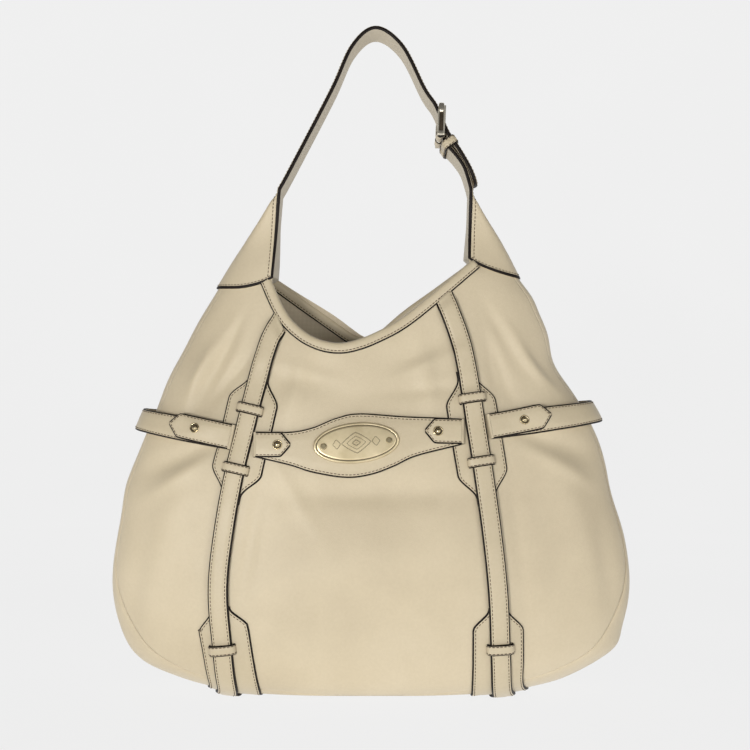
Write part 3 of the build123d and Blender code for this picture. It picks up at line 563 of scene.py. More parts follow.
def stitch_line(points, ups, length=2.1, gap=0.9, r=0.3, lift=0.1):
    """Verts and faces of thread stitches along a 3-D line, with the surface's normals."""
    p = np.array([tuple(v) for v in points])
    u = np.array([tuple(v) for v in ups])
    run = run_along(p)
    total = run[-1]
    verts, faces = [], []
    count = int(total // (length + gap))
    if count < 1:
        return verts, faces
    pitch = total / count

    def sample(at):
        return (np.array([np.interp(at, run, p[:, k]) for k in range(3)]),
                np.array([np.interp(at, run, u[:, k]) for k in range(3)]))

    for i in range(count):
        a, b = i * pitch + gap / 2, (i + 1) * pitch - gap / 2
        base = len(verts)
        p0, _ = sample(a)
        p1, _ = sample(b)
        along = p1 - p0
        size = np.linalg.norm(along)
        if size < 1e-6:
            continue
        along /= size
        for f, high, wide in STITCH_SECTIONS:
            q, up = sample(a + (b - a) * f)
            up = up / np.linalg.norm(up)
            side = np.cross(along, up)
            mid = q + up * (lift + r * (high - 0.6))
            for c, s in ((1, 0), (0.5, 0.85), (-0.5, 0.85), (-1, 0), (-0.5, -0.85), (0.5, -0.85)):
                verts.append(Vector(mid + side * (r * wide * c) + up * (r * s)))
        for k in range(4):
            for j in range(6):
                n = (j + 1) % 6
                faces.append((base + k * 6 + j, base + k * 6 + n, base + (k + 1) * 6 + n, base + (k + 1) * 6 + j))
        faces.append(tuple(base + j for j in range(5, -1, -1)))
        faces.append(tuple(base + 24 + j for j in range(6)))
    return verts, faces


class Builder:
    """Gathers the leather, edge paint and thread of one piece into one mesh."""

    def __init__(self, name, materials=None):
        self.name, self.verts, self.faces, self.slots = name, [], [], []
        self.materials = materials or [TRIM, EDGE, THREAD, INNER]

    def add(self, verts, faces, slot):
        base = len(self.verts)
        self.verts += list(verts)
        self.faces += [tuple(base + i for i in f) for f in faces]
        self.slots += [slot] * len(faces) if isinstance(slot, int) else list(slot)

    def stitch(self, points, ups):
        self.add(*stitch_line(points, ups), 2)

    def make(self):
        return new_piece(self.name, self.verts, self.faces, self.materials, self.slots, closed=True)


# ---- leather strips. A row is a function of (distance across, height) to a point and a normal
EDGE_BAND = 1.15  # width of the painted edge, as seen from above
GROOVE = 0.65  # half width of the groove the thread lies in


def strip(builder, rows, widths, thick=1.9, crown=0.35, stitch=2.3, stitched=(1, -1), under=1):
    """A leather strip over rows, with painted edges, sewn grooves and thread."""
    w = np.full(len(rows), float(widths)) if np.isscalar(widths) else np.array(widths, float)
    middle = np.array([tuple(row(0, 0)[0]) for row in rows])
    run = run_along(middle)
    slant = np.sqrt(1 + np.minimum(1.6, np.abs(np.gradient(w, run))) ** 2)
    # share of the half width, inset in mm, share of the thickness, share of the crown
    half = [(1, 0.0, -0.1, 0), (1, 0.0, 0.45, 0), (1, 0.2, 0.8, 0), (1, EDGE_BAND, 1.0, 0.0),
            (1, stitch - GROOVE, 1.02, 0.3), (1, stitch, 0.88, 0.3), (1, stitch + GROOVE, 1.02, 0.45),
            (0.5, 0, 1.0, 0.85), (0, 0, 1.0, 1.0)]
    profile = half + [(-s, i, h, c) for s, i, h, c in half[-2::-1]]
    cols = len(profile)
    verts, lines = [], {1: [], -1: []}
    for row, wide, lean in zip(rows, w, slant):
        for s, inset, height, c in profile:
            if abs(s) == 1:
                reach = math.copysign(max(0.02 * wide, wide - inset * lean), s)
            else:
                reach = s * max(0.02 * wide, wide - (stitch + GROOVE) * lean)
            verts.append(row(reach, thick * height + crown * c)[0])
        for s in stitched:
            if wide > stitch * lean:
                lines[s].append(row(s * (wide - stitch * lean), thick * 0.92 + crown * 0.3))
    faces = grid_faces(len(rows), cols)
    slots = [1 if j < 3 or j >= cols - 4 else 0 for _ in range(len(rows) - 1) for j in range(cols - 1)]
    for i in range(len(rows) - 1):
        faces.append((i * cols + cols - 1, i * cols, (i + 1) * cols, (i + 1) * cols + cols - 1))
        slots.append(under)
    faces += end_caps(len(rows), cols)
    builder.add(verts, faces, slots + [1, 1])
    for line in lines.values():
        if len(line) > 2:
            builder.stitch([q for q, _ in line], [u for _, u in line])


def rows_on(side, path, base, step=2.5, wider=0.0, turn=1):
    """Rows across a path of (x, z) points on the front (-1) or the back (1), base mm over the leather."""
    p = even(path, step)
    n = left_normals(p) * turn

    def row(at, across):
        return lambda reach, out: on_side(side, *(at + across * reach), base + out, wider=wider)

    return [row(at, across) for at, across in zip(p, n)]


def both_sides(build, name, slot, front_node, back_node):
    """The same piece on the front and on the back."""
    for side, tag, target in ((-1, "front", front_node), (1, "back", back_node)):
        b = Builder(name.format(tag))
        build(b, side)
        declare(b.make(), "bag", slot, target)


# ---- rim bindings
BINDING_SEAM = 6.75  # how far the thread lies below the rim


def binding(side, rim, name, target):
    b = Builder(name)
    p = even([q for q in rim if abs(q[0]) < 83.5], 2.0)
    n = left_normals(p)
    # distance below the rim, height over the leather, 1 for a painted edge
    profile = [(8.9, 0.1, 1), (9.0, 0.9, 1), (8.7, 1.45, 1), (7.95, 1.75, 1), (7.3, 1.75, 0), (6.75, 1.55, 0),
               (6.2, 1.75, 0), (4.2, 2.0, 0), (2.0, 1.9, 0), (0.6, 1.2, 0), (-0.15, -0.4, 0), (-0.2, -2.0, 0),
               (0.5, -3.8, 0), (1.8, -4.6, 0), (4.0, -4.8, 0), (6.2, -4.6, 0), (6.8, -4.4, 0), (7.9, -4.6, 1),
               (8.7, -4.3, 1), (9.0, -3.7, 1)]
    verts = []
    outer, inner = [], []
    for at, up in zip(p, n):
        for down, out, _ in profile:
            verts.append(on_side(side, *(at - up * down), out)[0])
        x, z = at - up * BINDING_SEAM
        outer.append(on_side(side, x, z, 1.68))
        inner.append((on_side(side, x, z, -4.5)[0], -on_side(side, x, z, 0)[1]))
    cols = len(profile)
    faces = grid_faces(len(p), cols, close=True)
    slots = [1 if profile[j][2] and profile[(j + 1) % cols][2] else 0
             for _ in range(len(p) - 1) for j in range(cols)]
    faces += end_caps(len(p), cols)
    b.add(verts, faces, slots + [1, 1])
    b.stitch([q for q, _ in outer], [u for _, u in outer])
    b.stitch([q for q, _ in inner], [u for _, u in inner])
    declare(b.make(), "bag", "trim_leather", target)


binding(-1, FRONT_RIM, "front_rim_strip", "front_rim_binding")
binding(1, BACK_RIM, "back_rim_strip", "back_rim_binding")

# ---- diamond patches, and base patches and down straps that run under the base
DIAMONDS = {"left": (-100.5, 213, -12.5), "right": (84.5, 212, 8.7)}
BASE_PATCHES = {"left": (-119, 77, 9.0), "right": (100.7, 77, 0.0)}
PATCH_HALF, NECK, PATCH_REACH = 20.5, 8.0, 54.0
STRAP_PATHS = {
    "left": [(-84, 282), (-98, 228), (-112, 163), (-120, 98), (-117, 45), (-113, 4), (-112, -20)],
    "right": [(74, 282), (84, 219), (93, 156), (100, 90), (102, 45), (104, 4), (104.5, -20)],
}
STRAP_TOPS = {(-1, "left"): (-73.5, 305.5), (-1, "right"): (61.5, 318.5), (1, "left"): (-75, 322),
              (1, "right"): (61.5, 320)}
STRAP_HALF = 8.0
TURN_Z, FLOOR_Z, FOOT_BLEND = 60.0, 4.6, 9.0


def diamond_width(v):
    """Half width of a diamond patch, v from 0 at its top to 1 at its foot."""
    along = abs(v - 0.5) * 2 * PATCH_REACH
    return PATCH_HALF - (PATCH_HALF - NECK) * smooth((along - 27) / 21)


for which, (cx, cz, tilt) in DIAMONDS.items():
    s, c = math.sin(math.radians(tilt)), math.cos(math.radians(tilt))
    line = [(cx - s * v, cz + c * v) for v in np.linspace(PATCH_REACH, -PATCH_REACH, 20)]

    def build(b, side, line=line):
        rows = rows_on(side, line, 0.15, 1.6)
        strip(b, rows, [diamond_width(v) for v in np.linspace(0, 1, len(rows))], thick=1.5, crown=0.1)

    both_sides(build, "{}_" + which + "_diamond_leather", "trim_leather",
               "front_" + which + "_diamond_patch", "back_" + which + "_diamond_patch")


def round_foot(x, turn, out):
    """Point and normal round the foot at x: turn 0 faces the front, 90 degrees the floor, 180 the back."""
    c, s = math.cos(turn), math.sin(turn)
    side = -1 if c > 0 else 1
    low, high = 0.0, 90.0
    for _ in range(26):
        reach = (low + high) / 2
        y, z = abs(c) * reach, TURN_Z - s * reach
        if z < FLOOR_Z or on_side(1, x, z, loose=False)[0].y < y or abs(x) > half_sizes(z)[0]:
            high = reach
        else:
            low = reach
    y, z = side * abs(c) * low, TURN_Z - s * low
    if z > FLOOR_Z + 0.01:
        return on_side(side, x, z, out)
    edge, slope = on_side(side, x, FLOOR_Z, loose=False)
    flat = smooth(abs(edge.y - y) / FOOT_BLEND)
    normal = (slope * (1 - flat) + Vector((0, 0, -1)) * flat).normalized()
    return Vector((x, y, FLOOR_Z)) + normal * out, normal


def rows_round(front_path, back_path, base, step=2.5):
    """Rows down the front, round under the base and up the back, and each one's height."""
    fronts = [q for q in even(front_path, step) if q[1] > TURN_Z + 1]
    backs = [q for q in even(back_path, step)[::-1] if q[1] > TURN_Z + 1]
    low = sorted([q for q in even(front_path, step) if q[1] < TURN_Z + 4], key=lambda q: q[1])
    rows = rows_on(-1, fronts, base, step)
    heights = [q[1] for q in even(fronts, step)]
    for turn in np.linspace(0, math.pi, 66):
        z = TURN_Z
        for _ in range(3):
            x = float(np.interp(z, [q[1] for q in low], [q[0] for q in low]))
            z = round_foot(x, turn, 0)[0].z
        rows.append(lambda reach, out, x=x, turn=turn: round_foot(x + reach, turn, base + out))
        heights.append(z)
    rows += rows_on(1, backs, base, step, turn=-1)
    heights += [q[1] for q in even(backs, step)]
    return rows, heights


for which, (x, z, tilt) in BASE_PATCHES.items():
    lean = math.tan(math.radians(tilt))
    line = [(x + (z - h) * lean, h) for h in np.linspace(z + 1, -20, 40)]
    rows, heights = rows_round(line, line, 0.15, 1.6)
    b = Builder(which + "_base_patch_leather")
    widths = [PATCH_HALF - (PATCH_HALF - NECK) * smooth((h - 60) / 17) for h in heights]
    strip(b, rows, widths, thick=1.5, crown=0.1)
    declare(b.make(), "bag", "trim_leather", which + "_base_patch")


def tucked(path, rim):
    """The path carried on until it lies just under the binding, and the slope its end is cut to."""
    top, below = np.array(path[0], float), np.array(path[1], float)
    along = (top - below) / np.linalg.norm(top - below)
    rise = float(np.gradient(np.interp([top[0] - 2, top[0], top[0] + 2], rim[:, 0], rim[:, 1]), 2.0)[1])
    while rim_height(rim, top[0]) - top[1] > 7.2 * math.hypot(1, rise):
        top = top + 0.5 * along
    while rim_height(rim, top[0]) - top[1] < 6.6 * math.hypot(1, rise):
        top = top - 0.5 * along
    return [tuple(top)] + list(path[1:]), math.tan(math.atan(rise) - math.atan2(-along[0], along[1]))


def tuck_rows(side, path, base, slope, step):
    """Strap rows whose first ones slant to the rim's slope and sink in under its binding."""
    p = even(path, step)
    run = run_along(p)
    n = left_normals(p)
    rows = []
    for at, across, t in zip(p, n, run):
        along = np.array([-across[1], across[0]])
        if along[1] < 0:
            along = -along
        right = 1 if across[0] > 0 else -1
        slant = slope * right * (1 - smooth(t / 30))
        sink = 2.7 * (1 - smooth((t - 1.5) / 10))

        def row(reach, out, at=at, across=across, along=along, slant=slant, sink=sink):
            spot = at + across * reach + along * (reach * slant)
            return on_side(side, *spot, base + out - sink)

        rows.append(row)
    return rows


for which, path in STRAP_PATHS.items():
    front, front_slope = tucked([STRAP_TOPS[-1, which]] + path, FRONT_RIM)
    back, back_slope = tucked([STRAP_TOPS[1, which]] + path, BACK_RIM)
    front, back = spline(front, 12), spline(back, 12)
    rows, heights = rows_round(front, back, 2.0)
    upper = [q for q in even(front, 2.5) if q[1] > TURN_Z + 1]
    rows[:len(upper)] = tuck_rows(-1, upper, 2.0, front_slope, 2.5)[:len(upper)]
    upper = [q for q in even(back, 2.5) if q[1] > TURN_Z + 1]
    last = tuck_rows(1, upper, 2.0, back_slope, 2.5)[::-1]
    rows[-len(last):] = [lambda reach, out, row=row: row(-reach, out) for row in last]
    b = Builder(which + "_down_strap_leather")
    strip(b, rows, STRAP_HALF, thick=2.2, crown=0.5)
    declare(b.make(), "bag", "trim_leather", which + "_down_strap")

# ---- keeper loops
LOOPS = {
    "left_upper": (-96.6, 234, -13.0), "left_lower": (-107.1, 187, -12.0), "left_base": (-117, 45, 5.9),
    "right_upper": (80.9, 243, 7.7), "right_lower": (87.6, 193, 8.3), "right_base": (102, 46, 2.6),
}
ARCH_HALF, ARCH_FOOT, ARCH_RISE, ARCH_POWER, LOOP_HALF = 9.3, 1.7, 4.1, 3.4, 4.2

for which, (cx, cz, tilt) in LOOPS.items():
    s, c = math.sin(math.radians(tilt)), math.cos(math.radians(tilt))

    def build(b, side, cx=cx, cz=cz, s=s, c=c):
        rows = []
        for angle in np.linspace(0, math.pi, 33):
            ca, sa = math.cos(angle), math.sin(angle)
            across = ARCH_HALF * abs(ca) ** (2 / ARCH_POWER) * (1 if ca > 0 else -1)
            high = ARCH_FOOT + ARCH_RISE * sa ** (2 / ARCH_POWER)
            na = abs(across / ARCH_HALF) ** (ARCH_POWER - 1) * (1 if ca > 0 else -1) / ARCH_HALF
            nh = ((high - ARCH_FOOT) / ARCH_RISE) ** (ARCH_POWER - 1) / ARCH_RISE
            size = math.hypot(na, nh)
            na, nh = na / size, nh / size

            def row(reach, out, across=across, high=high, na=na, nh=nh):
                a = across + na * out
                at, n = on_side(side, cx + c * a - s * reach, cz + s * a + c * reach, high + nh * out)
                sideways = Vector((c, 0, s))
                return at, (n * nh + sideways * na).normalized()

            rows.append(row)
        strip(b, rows, LOOP_HALF, thick=1.5, crown=0.15, stitch=1.5, under=3)

    both_sides(build, which + "_loop_{}_leather", "trim_leather", which + "_loop_front", which + "_loop_back")

# ---- belts, whose ends fold back over themselves as pointed tabs
BELT_HALF, BELT_BASE, BELT_THICK, TAB_BASE, TAB_THICK, TAB_POINT, STAND_OFF = 10.0, 2.0, 1.9, 4.1, 1.7, 7.0, 7.0
SIDE_BELTS = {
    "left": ((-111.6, 212), (-214, 228.5), (-160.5, 222)),
    "right": ((95.5, 220.5), (214, 234.5), (143, 229)),
}
BELT_TOP = spline([(-91, 216), (-64, 216.3), (-46, 219.9), (-27.8, 227.3), (-9.5, 230.9), (27, 228.6),
                   (72, 226.8)])
BELT_FOOT = spline([(-91, 196), (-64, 189.8), (-46, 184.3), (-20, 180.3), (0, 182.6), (18, 189), (36, 197.1),
                    (72, 206)])
INNER_TABS = {"left": ((-91, 206), (-63.7, 206)), "right": ((72, 216.5), (43, 217))}


def tab(b, side, fold, tip, wider=0.0):
    """A pointed tab from its fold to its tip, and the rounded fold itself."""
    length = math.dist(fold, tip)
    rows = rows_on(side, [fold, tip], TAB_BASE, 1.25, wider)
    widths = []
    for t in np.linspace(0, length, len(rows)):
        left = length - t
        blunt = 0.3 * math.exp(-(((left - TAB_POINT) / 2.2) ** 2))
        widths.append(BELT_HALF * min(1.0, 0.16 + 0.84 * left / TAB_POINT) - blunt)
    strip(b, rows, widths, thick=TAB_THICK, crown=0.5, stitch=1.9)
    radius = (TAB_BASE + TAB_THICK - BELT_BASE) / 2 + 0.15
    middle = BELT_BASE + radius - TAB_BASE
    across = [-1.0, -0.97, -0.9, -0.5, 0, 0.5, 0.9, 0.97, 1.0]
    verts = []
    turns = np.linspace(-90, 90, 11)
    for turn in turns:
        for share in across:
            at, normal = rows[0](share * BELT_HALF, middle + radius * math.sin(math.radians(turn)))
            ahead = rows[1](share * BELT_HALF, middle)[0] - rows[0](share * BELT_HALF, middle)[0]
            dip = 0.25 if abs(share) == 1 else 0
            verts.append(at - ahead.normalized() * (radius - dip) * math.cos(math.radians(turn)))
    cols = len(across)
    faces = grid_faces(len(turns), cols)
    slots = [1 if j in (0, cols - 2) else 0 for _ in range(len(turns) - 1) for j in range(cols - 1)]
    faces.append(tuple(i * cols for i in range(len(turns))))
    faces.append(tuple(i * cols + cols - 1 for i in range(len(turns)))[::-1])
    for j in range(cols - 1):
        k = (len(turns) - 1) * cols
        faces.append((j, j + 1, k + j + 1, k + j))
    b.add(verts, faces, slots + [1, 1] + [0] * (cols - 1))


def side_belt(which, fold, at_side, tip):
    way = -1 if fold[0] < 0 else 1
    slope = (at_side[1] - fold[1]) / (abs(at_side[0]) - abs(fold[0]))
    tilt = math.atan(slope)

    def line_z(x):
        return fold[1] + slope * (abs(x) - abs(fold[0]))

    def row(angle):
        def place(reach, out):
            z = 218.0
            for _ in range(4):
                x = abs(at_angle(angle, z, wider=STAND_OFF, loose=False)[0].x)
                z = line_z(x)
            z += reach * math.cos(tilt)
            a = half_sizes(z)[0] + STAND_OFF
            side = 1 if angle > math.pi / 2 else -1
            x = min(0.99999 * a, x - reach * math.sin(tilt) * smooth(abs(math.pi / 2 - angle) / 0.5))
            share = (x / a) ** (BULGE / 2)
            turn = math.asin(min(1.0, share))
            if side > 0:
                turn = math.pi - turn
            if abs(math.pi / 2 - angle) < 0.5:
                keep = smooth(abs(math.pi / 2 - angle) / 0.5)
                turn = turn * keep + angle * (1 - keep)
            return at_angle(way * turn, z, BELT_BASE + out, wider=STAND_OFF)
        return place

    a0 = half_sizes(fold[1])[0] + STAND_OFF
    first = math.asin((abs(fold[0]) / a0) ** (BULGE / 2))
    b = Builder(which + "_side_belt_leather")
    angles = np.linspace(first, math.pi - first, 120)
    strip(b, [row(angle) for angle in angles], BELT_HALF - 1.4 * np.sin(angles) ** 6, thick=BELT_THICK, crown=0.3,
          stitch=1.9, under=3)
    for side in (-1, 1):
        tab(b, side, fold, tip, STAND_OFF)
    declare(b.make(), "bag", "trim_leather", which + "_side_belt")


for which, (fold, at_side, tip) in SIDE_BELTS.items():
    side_belt(which, fold, at_side, tip)


def centre_belt(b, side):
    rows, widths = [], []
    for x in np.linspace(-91, 72, 84):
        top = float(np.interp(x, BELT_TOP[:, 0], BELT_TOP[:, 1]))
        foot = float(np.interp(x, BELT_FOOT[:, 0], BELT_FOOT[:, 1]))
        middle = (top + foot) / 2
        rows.append(lambda reach, out, x=x, middle=middle: on_side(side, x, middle + reach, BELT_BASE + out))
        widths.append((top - foot) / 2)
    strip(b, rows, widths, thick=BELT_THICK, crown=0.3, stitch=2.3)
    for fold, tip in INNER_TABS.values():
        tab(b, side, fold, tip)


both_sides(centre_belt, "{}_belt_leather", "trim_leather", "front_belt", "back_belt")


# ---- turned metal: rivets and the plaque
def frame_at(point, normal, tilt=0.0):
    """Axes on a surface: across, up and out."""
    across = Vector((0, 0, 1)).cross(normal).normalized()
    up = normal.cross(across)
    c, s = math.cos(math.radians(tilt)), math.sin(math.radians(tilt))
    return lambda x, y, z: point + (across * c + up * s) * x + (up * c - across * s) * y + normal * z


def turned(builder, place, profile, slots, count=40):
    """A turned solid from (radius, height) pairs, ending at radius 0."""
    verts = []
    for r, h in profile[:-1]:
        for k in range(count):
            angle = 2 * math.pi * k / count
            verts.append(place(r * math.cos(angle), r * math.sin(angle), h))
    faces = grid_faces(len(profile) - 1, count, close=True)
    ids = [slots[i] for i in range(len(profile) - 2) for _ in range(count)]
    tip = len(verts)
    verts.append(place(0, 0, profile[-1][1]))
    last = (len(profile) - 2) * count
    for k in range(count):
        faces.append((last + k, last + (k + 1) % count, tip))
        ids.append(slots[-1])
    faces.append(tuple(range(count))[::-1])
    builder.add(verts, faces, ids + [0])


STUD_PROFILE = [(4.0, -0.1), (4.05, 0.35), (3.85, 0.75), (3.5, 0.92), (3.15, 0.82), (2.95, 0.5),
                (2.7, 0.42), (2.45, 0.55), (2.2, 0.95), (2.0, 1.35), (1.62, 1.8), (1.1, 2.12), (0.55, 2.28), (0, 2.32)]
STUDS = {"left_outer": (-139.8, 218.4), "left_inner": (-73.5, 205.8), "right_inner": (53, 216.6),
         "right_outer": (122, 225.2)}

for side, tag in ((-1, "front"), (1, "back")):
    b = Builder(tag + "_rivets", [GOLD, RECESS_SHADE_GOLD])
    for where, (x, z) in STUDS.items():
        wider = STAND_OFF if "outer" in where else 0
        point, normal = on_side(side, x, z, TAB_BASE + TAB_THICK + 0.35, wider=wider)
        # the groove between the stud's ring and its dome takes the dark gold as painted shade
        turned(b, frame_at(point, normal), STUD_PROFILE, [0, 0, 0, 0, 1, 1, 1, 0, 0, 0, 0, 0, 0])
    declare(b.make(), "bag", "pale_gold", tag + "_studs")


PLAQUE_AT, PLAQUE_TILT, PLAQUE_HALF, PLAQUE_LIFT = (-11.4, 207.5), 5.4, (34.0, 16.0), 0.55
# engraved lozenges: centre, half length, half height, half the line's width
MOTIF = [(0, 11.5, 8.2, 0.42), (0, 7.4, 5.2, 0.3), (0, 3.2, 2.2, 0.42),
         (-15.6, 3.0, 3.6, 0.34), (15.6, 3.0, 3.6, 0.34)]


def plaque():
    """An oval plate with a raised rim, a border groove painted dark as shade and a plain engraved lozenge motif whose
    lines are painted dark as shade.
    """
    point, normal = on_side(-1, *PLAQUE_AT, BELT_BASE + BELT_THICK + 0.3 + PLAQUE_LIFT)
    place = frame_at(point, normal, PLAQUE_TILT)
    b = Builder("plaque_plate", [PLATE, RECESS_SHADE_GOLD])
    count = 144
    # inset from the edge in mm, height, 1 for the groove painted dark as shade
    rings = [(0.0, -0.2, 0), (-0.15, 0.3, 0), (0.0, 0.9, 0), (0.35, 1.35, 0), (0.8, 1.5, 0), (1.5, 1.5, 0),
             (1.8, 1.42, 0), (1.95, 1.12, 1), (2.45, 1.1, 1), (2.6, 1.42, 0), (3.0, 1.5, 0)]
    verts = []

    def around(inset, height_at):
        for k in range(count):
            angle = 2 * math.pi * k / count
            u, v = (PLAQUE_HALF[0] - inset) * math.cos(angle), (PLAQUE_HALF[1] - inset) * math.sin(angle)
            verts.append(place(u, v, height_at(u, v)))

    for inset, height, _ in rings:
        around(inset, lambda u, v, height=height: height)
    slots = [1 if rings[i][2] and rings[i + 1][2] else 0 for i in range(len(rings) - 1) for _ in range(count)]
    shrink = np.linspace(3.4, 15.9, 34)

    def face(u, v):
        return 1.5 + 0.35 * (1 - (u / PLAQUE_HALF[0]) ** 2 - (v / PLAQUE_HALF[1]) ** 2)

    for inset in shrink:
        t = (inset - 3.4) / 12.5
        for k in range(count):
            angle = 2 * math.pi * k / count
            u = (PLAQUE_HALF[0] - 3.4) * (1 - t) * math.cos(angle)
            v = (PLAQUE_HALF[1] - 3.4) * (1 - t) * math.sin(angle)
            verts.append(place(u, v, face(u, v)))
        slots += [0] * count
    rows = len(rings) + len(shrink)
    faces = grid_faces(rows, count, close=True)
    faces += end_caps(rows, count)
    b.add(verts, faces, slots + [0, 0])
    for centre, across, tall, half in MOTIF:
        outline = []
        for k in range(64):
            angle = 2 * math.pi * k / 64
            c, s = math.cos(angle), math.sin(angle)
            size = (abs(c) ** 1.15 + abs(s) ** 1.15) ** (-1 / 1.15)
            outline.append((c * size, s * size))
        verts = []
        for edge, lift in ((-half, 0.04), (0, -0.02), (half, 0.04)):
            for c, s in outline:
                u, v = centre + c * (across + edge), s * (tall + edge)
                verts.append(place(u, v, face(u, v) + lift))
        # the motif's engraved lines take the dark gold as painted shade
        b.add(verts, grid_faces(3, 64, close=True), 1)
    declare(b.make(), "bag", "pale_gold", "plaque")


plaque()

# ---- the horns, which grow into the handle's two straps
WIDTH_DIR = Vector((0, -math.cos(LEAN), math.sin(LEAN)))
STRAP_WIDE, STRAP_THICK = 15.0, 3.2
LONG_STRAP = [(-75.5, -6), (-67.5, 9), (-33, 78), (-15.5, 117), (4, 132.5), (26, 117), (44.3, 80), (53.1, 66.5),
              (58.4, 54), (64.2, 41), (70, 32.5), (75.8, 23), (81.2, 13), (87, 0)]
SHORT_STRAP = [(82.5, -6), (80, 4), (76.5, 14), (70.5, 23), (63.9, 30.6), (60.2, 37.2)]
LEFT_EDGE = [(79, 341.5), (88.6, 336.7), (98.6, 334), (111, 332.6), (140, 334)]
RIGHT_EDGE = [(79, 357.5), (88.1, 352), (100.6, 347), (118.5, 342.3), (140, 340)]


def in_handle(x, up):
    """A point of the handle's leaning plane."""
    return Vector((x, math.sin(LEAN) * up, HINGE_Z + math.cos(LEAN) * up))


def ring_of(inner, outer, wide_dir, half_line, band, bulge):
    """One closed section: the inner face, the painted front edge, the outer skin, and the back the same.
    half_line gives the half width at each share of the way from the inner face to the outer one."""
    chord = outer - inner
    thick = chord.length
    chord.normalize()
    shares = 1 - (1 - np.linspace(0, 1, 70)) ** 2.2
    line = np.array([(u * thick, half_line(u)) for u in shares])
    line[-1, 1] = 0.0
    run = run_along(line)
    first = line[0, 1]
    total = run[-1]
    sew = band + 2.4
    marks = [(0.0, -0.1, 1), (0.3, 0.0, 1), (0.5 * band, 0.08, 1), (band - 0.25, 0.0, 1), (band, -0.06, 0),
             (band + 0.25, 0.12, 0), (sew - GROOVE, 0.16, 0), (sew, -0.08, 0), (sew + GROOVE, 0.16, 0)]
    marks += [(sew + GROOVE + (total - sew - GROOVE) * f, 0.16 + 0.25 * f, 0)
              for f in (0.07, 0.15, 0.24, 0.34, 0.45, 0.56, 0.67, 0.78, 0.89, 1.0)]
    cells = []  # distance out, half width, material
    for f, lift in ((0, 1.0), (0.3, 0.95), (0.6, 0.7)):
        cells.append((-bulge * (1 - f * f) - 0.1 * lift, f * first, 3))
    for back in (3.7, 3.05, 2.4, 0.6):
        y = max(0.62, 1 - back / first) * first if back > 2 else first - back
        dip = 0.0 if back == 3.05 else 0.1
        cells.append((-bulge * (1 - (y / first) ** 2) - dip, y, 3))
    sewn = []
    for distance, lift, slot in marks:
        d, y = (float(np.interp(distance, run, line[:, k])) for k in (0, 1))
        ahead = [float(np.interp(min(total, distance + 0.4), run, line[:, k])) for k in (0, 1)]
        behind = [float(np.interp(max(0, distance - 0.4), run, line[:, k])) for k in (0, 1)]
        td, ty = ahead[0] - behind[0], ahead[1] - behind[1]
        size = math.hypot(td, ty) or 1.0
        nd, ny = -ty / size, td / size
        if distance == total:
            nd, ny = 1.0, 0.0
        cells.append((d + nd * lift, max(0.0, y + ny * lift), slot))
        if distance == sew:
            sewn = [(d, y, nd, ny)]
    front = [inner + chord * d + wide_dir * y for d, y, _ in cells]
    back = [inner + chord * d - wide_dir * y for d, y, _ in cells]
    ring = front + back[-2:0:-1]
    slots = [c[2] for c in cells]
    edge_slots = [1 if 1 in pair else pair[1] for pair in zip(slots, slots[1:])]
    d, y, nd, ny = sewn[0]
    outside = [(inner + chord * d + wide_dir * (y * s), (chord * nd + wide_dir * (ny * s)).normalized())
               for s in (1, -1)]
    y = first - 3.05
    d = -bulge * (1 - (y / first) ** 2)
    inside = [(inner + chord * d + wide_dir * (y * s), -chord) for s in (1, -1)]
    return ring, edge_slots + edge_slots[::-1], outside, inside


def rounded(u, half):
    """Half width of a flat strap's section with soft corners."""
    return (half - 0.35 * math.exp(-u * 14)) * max(0.0, 1 - u**9) ** (1 / 9)


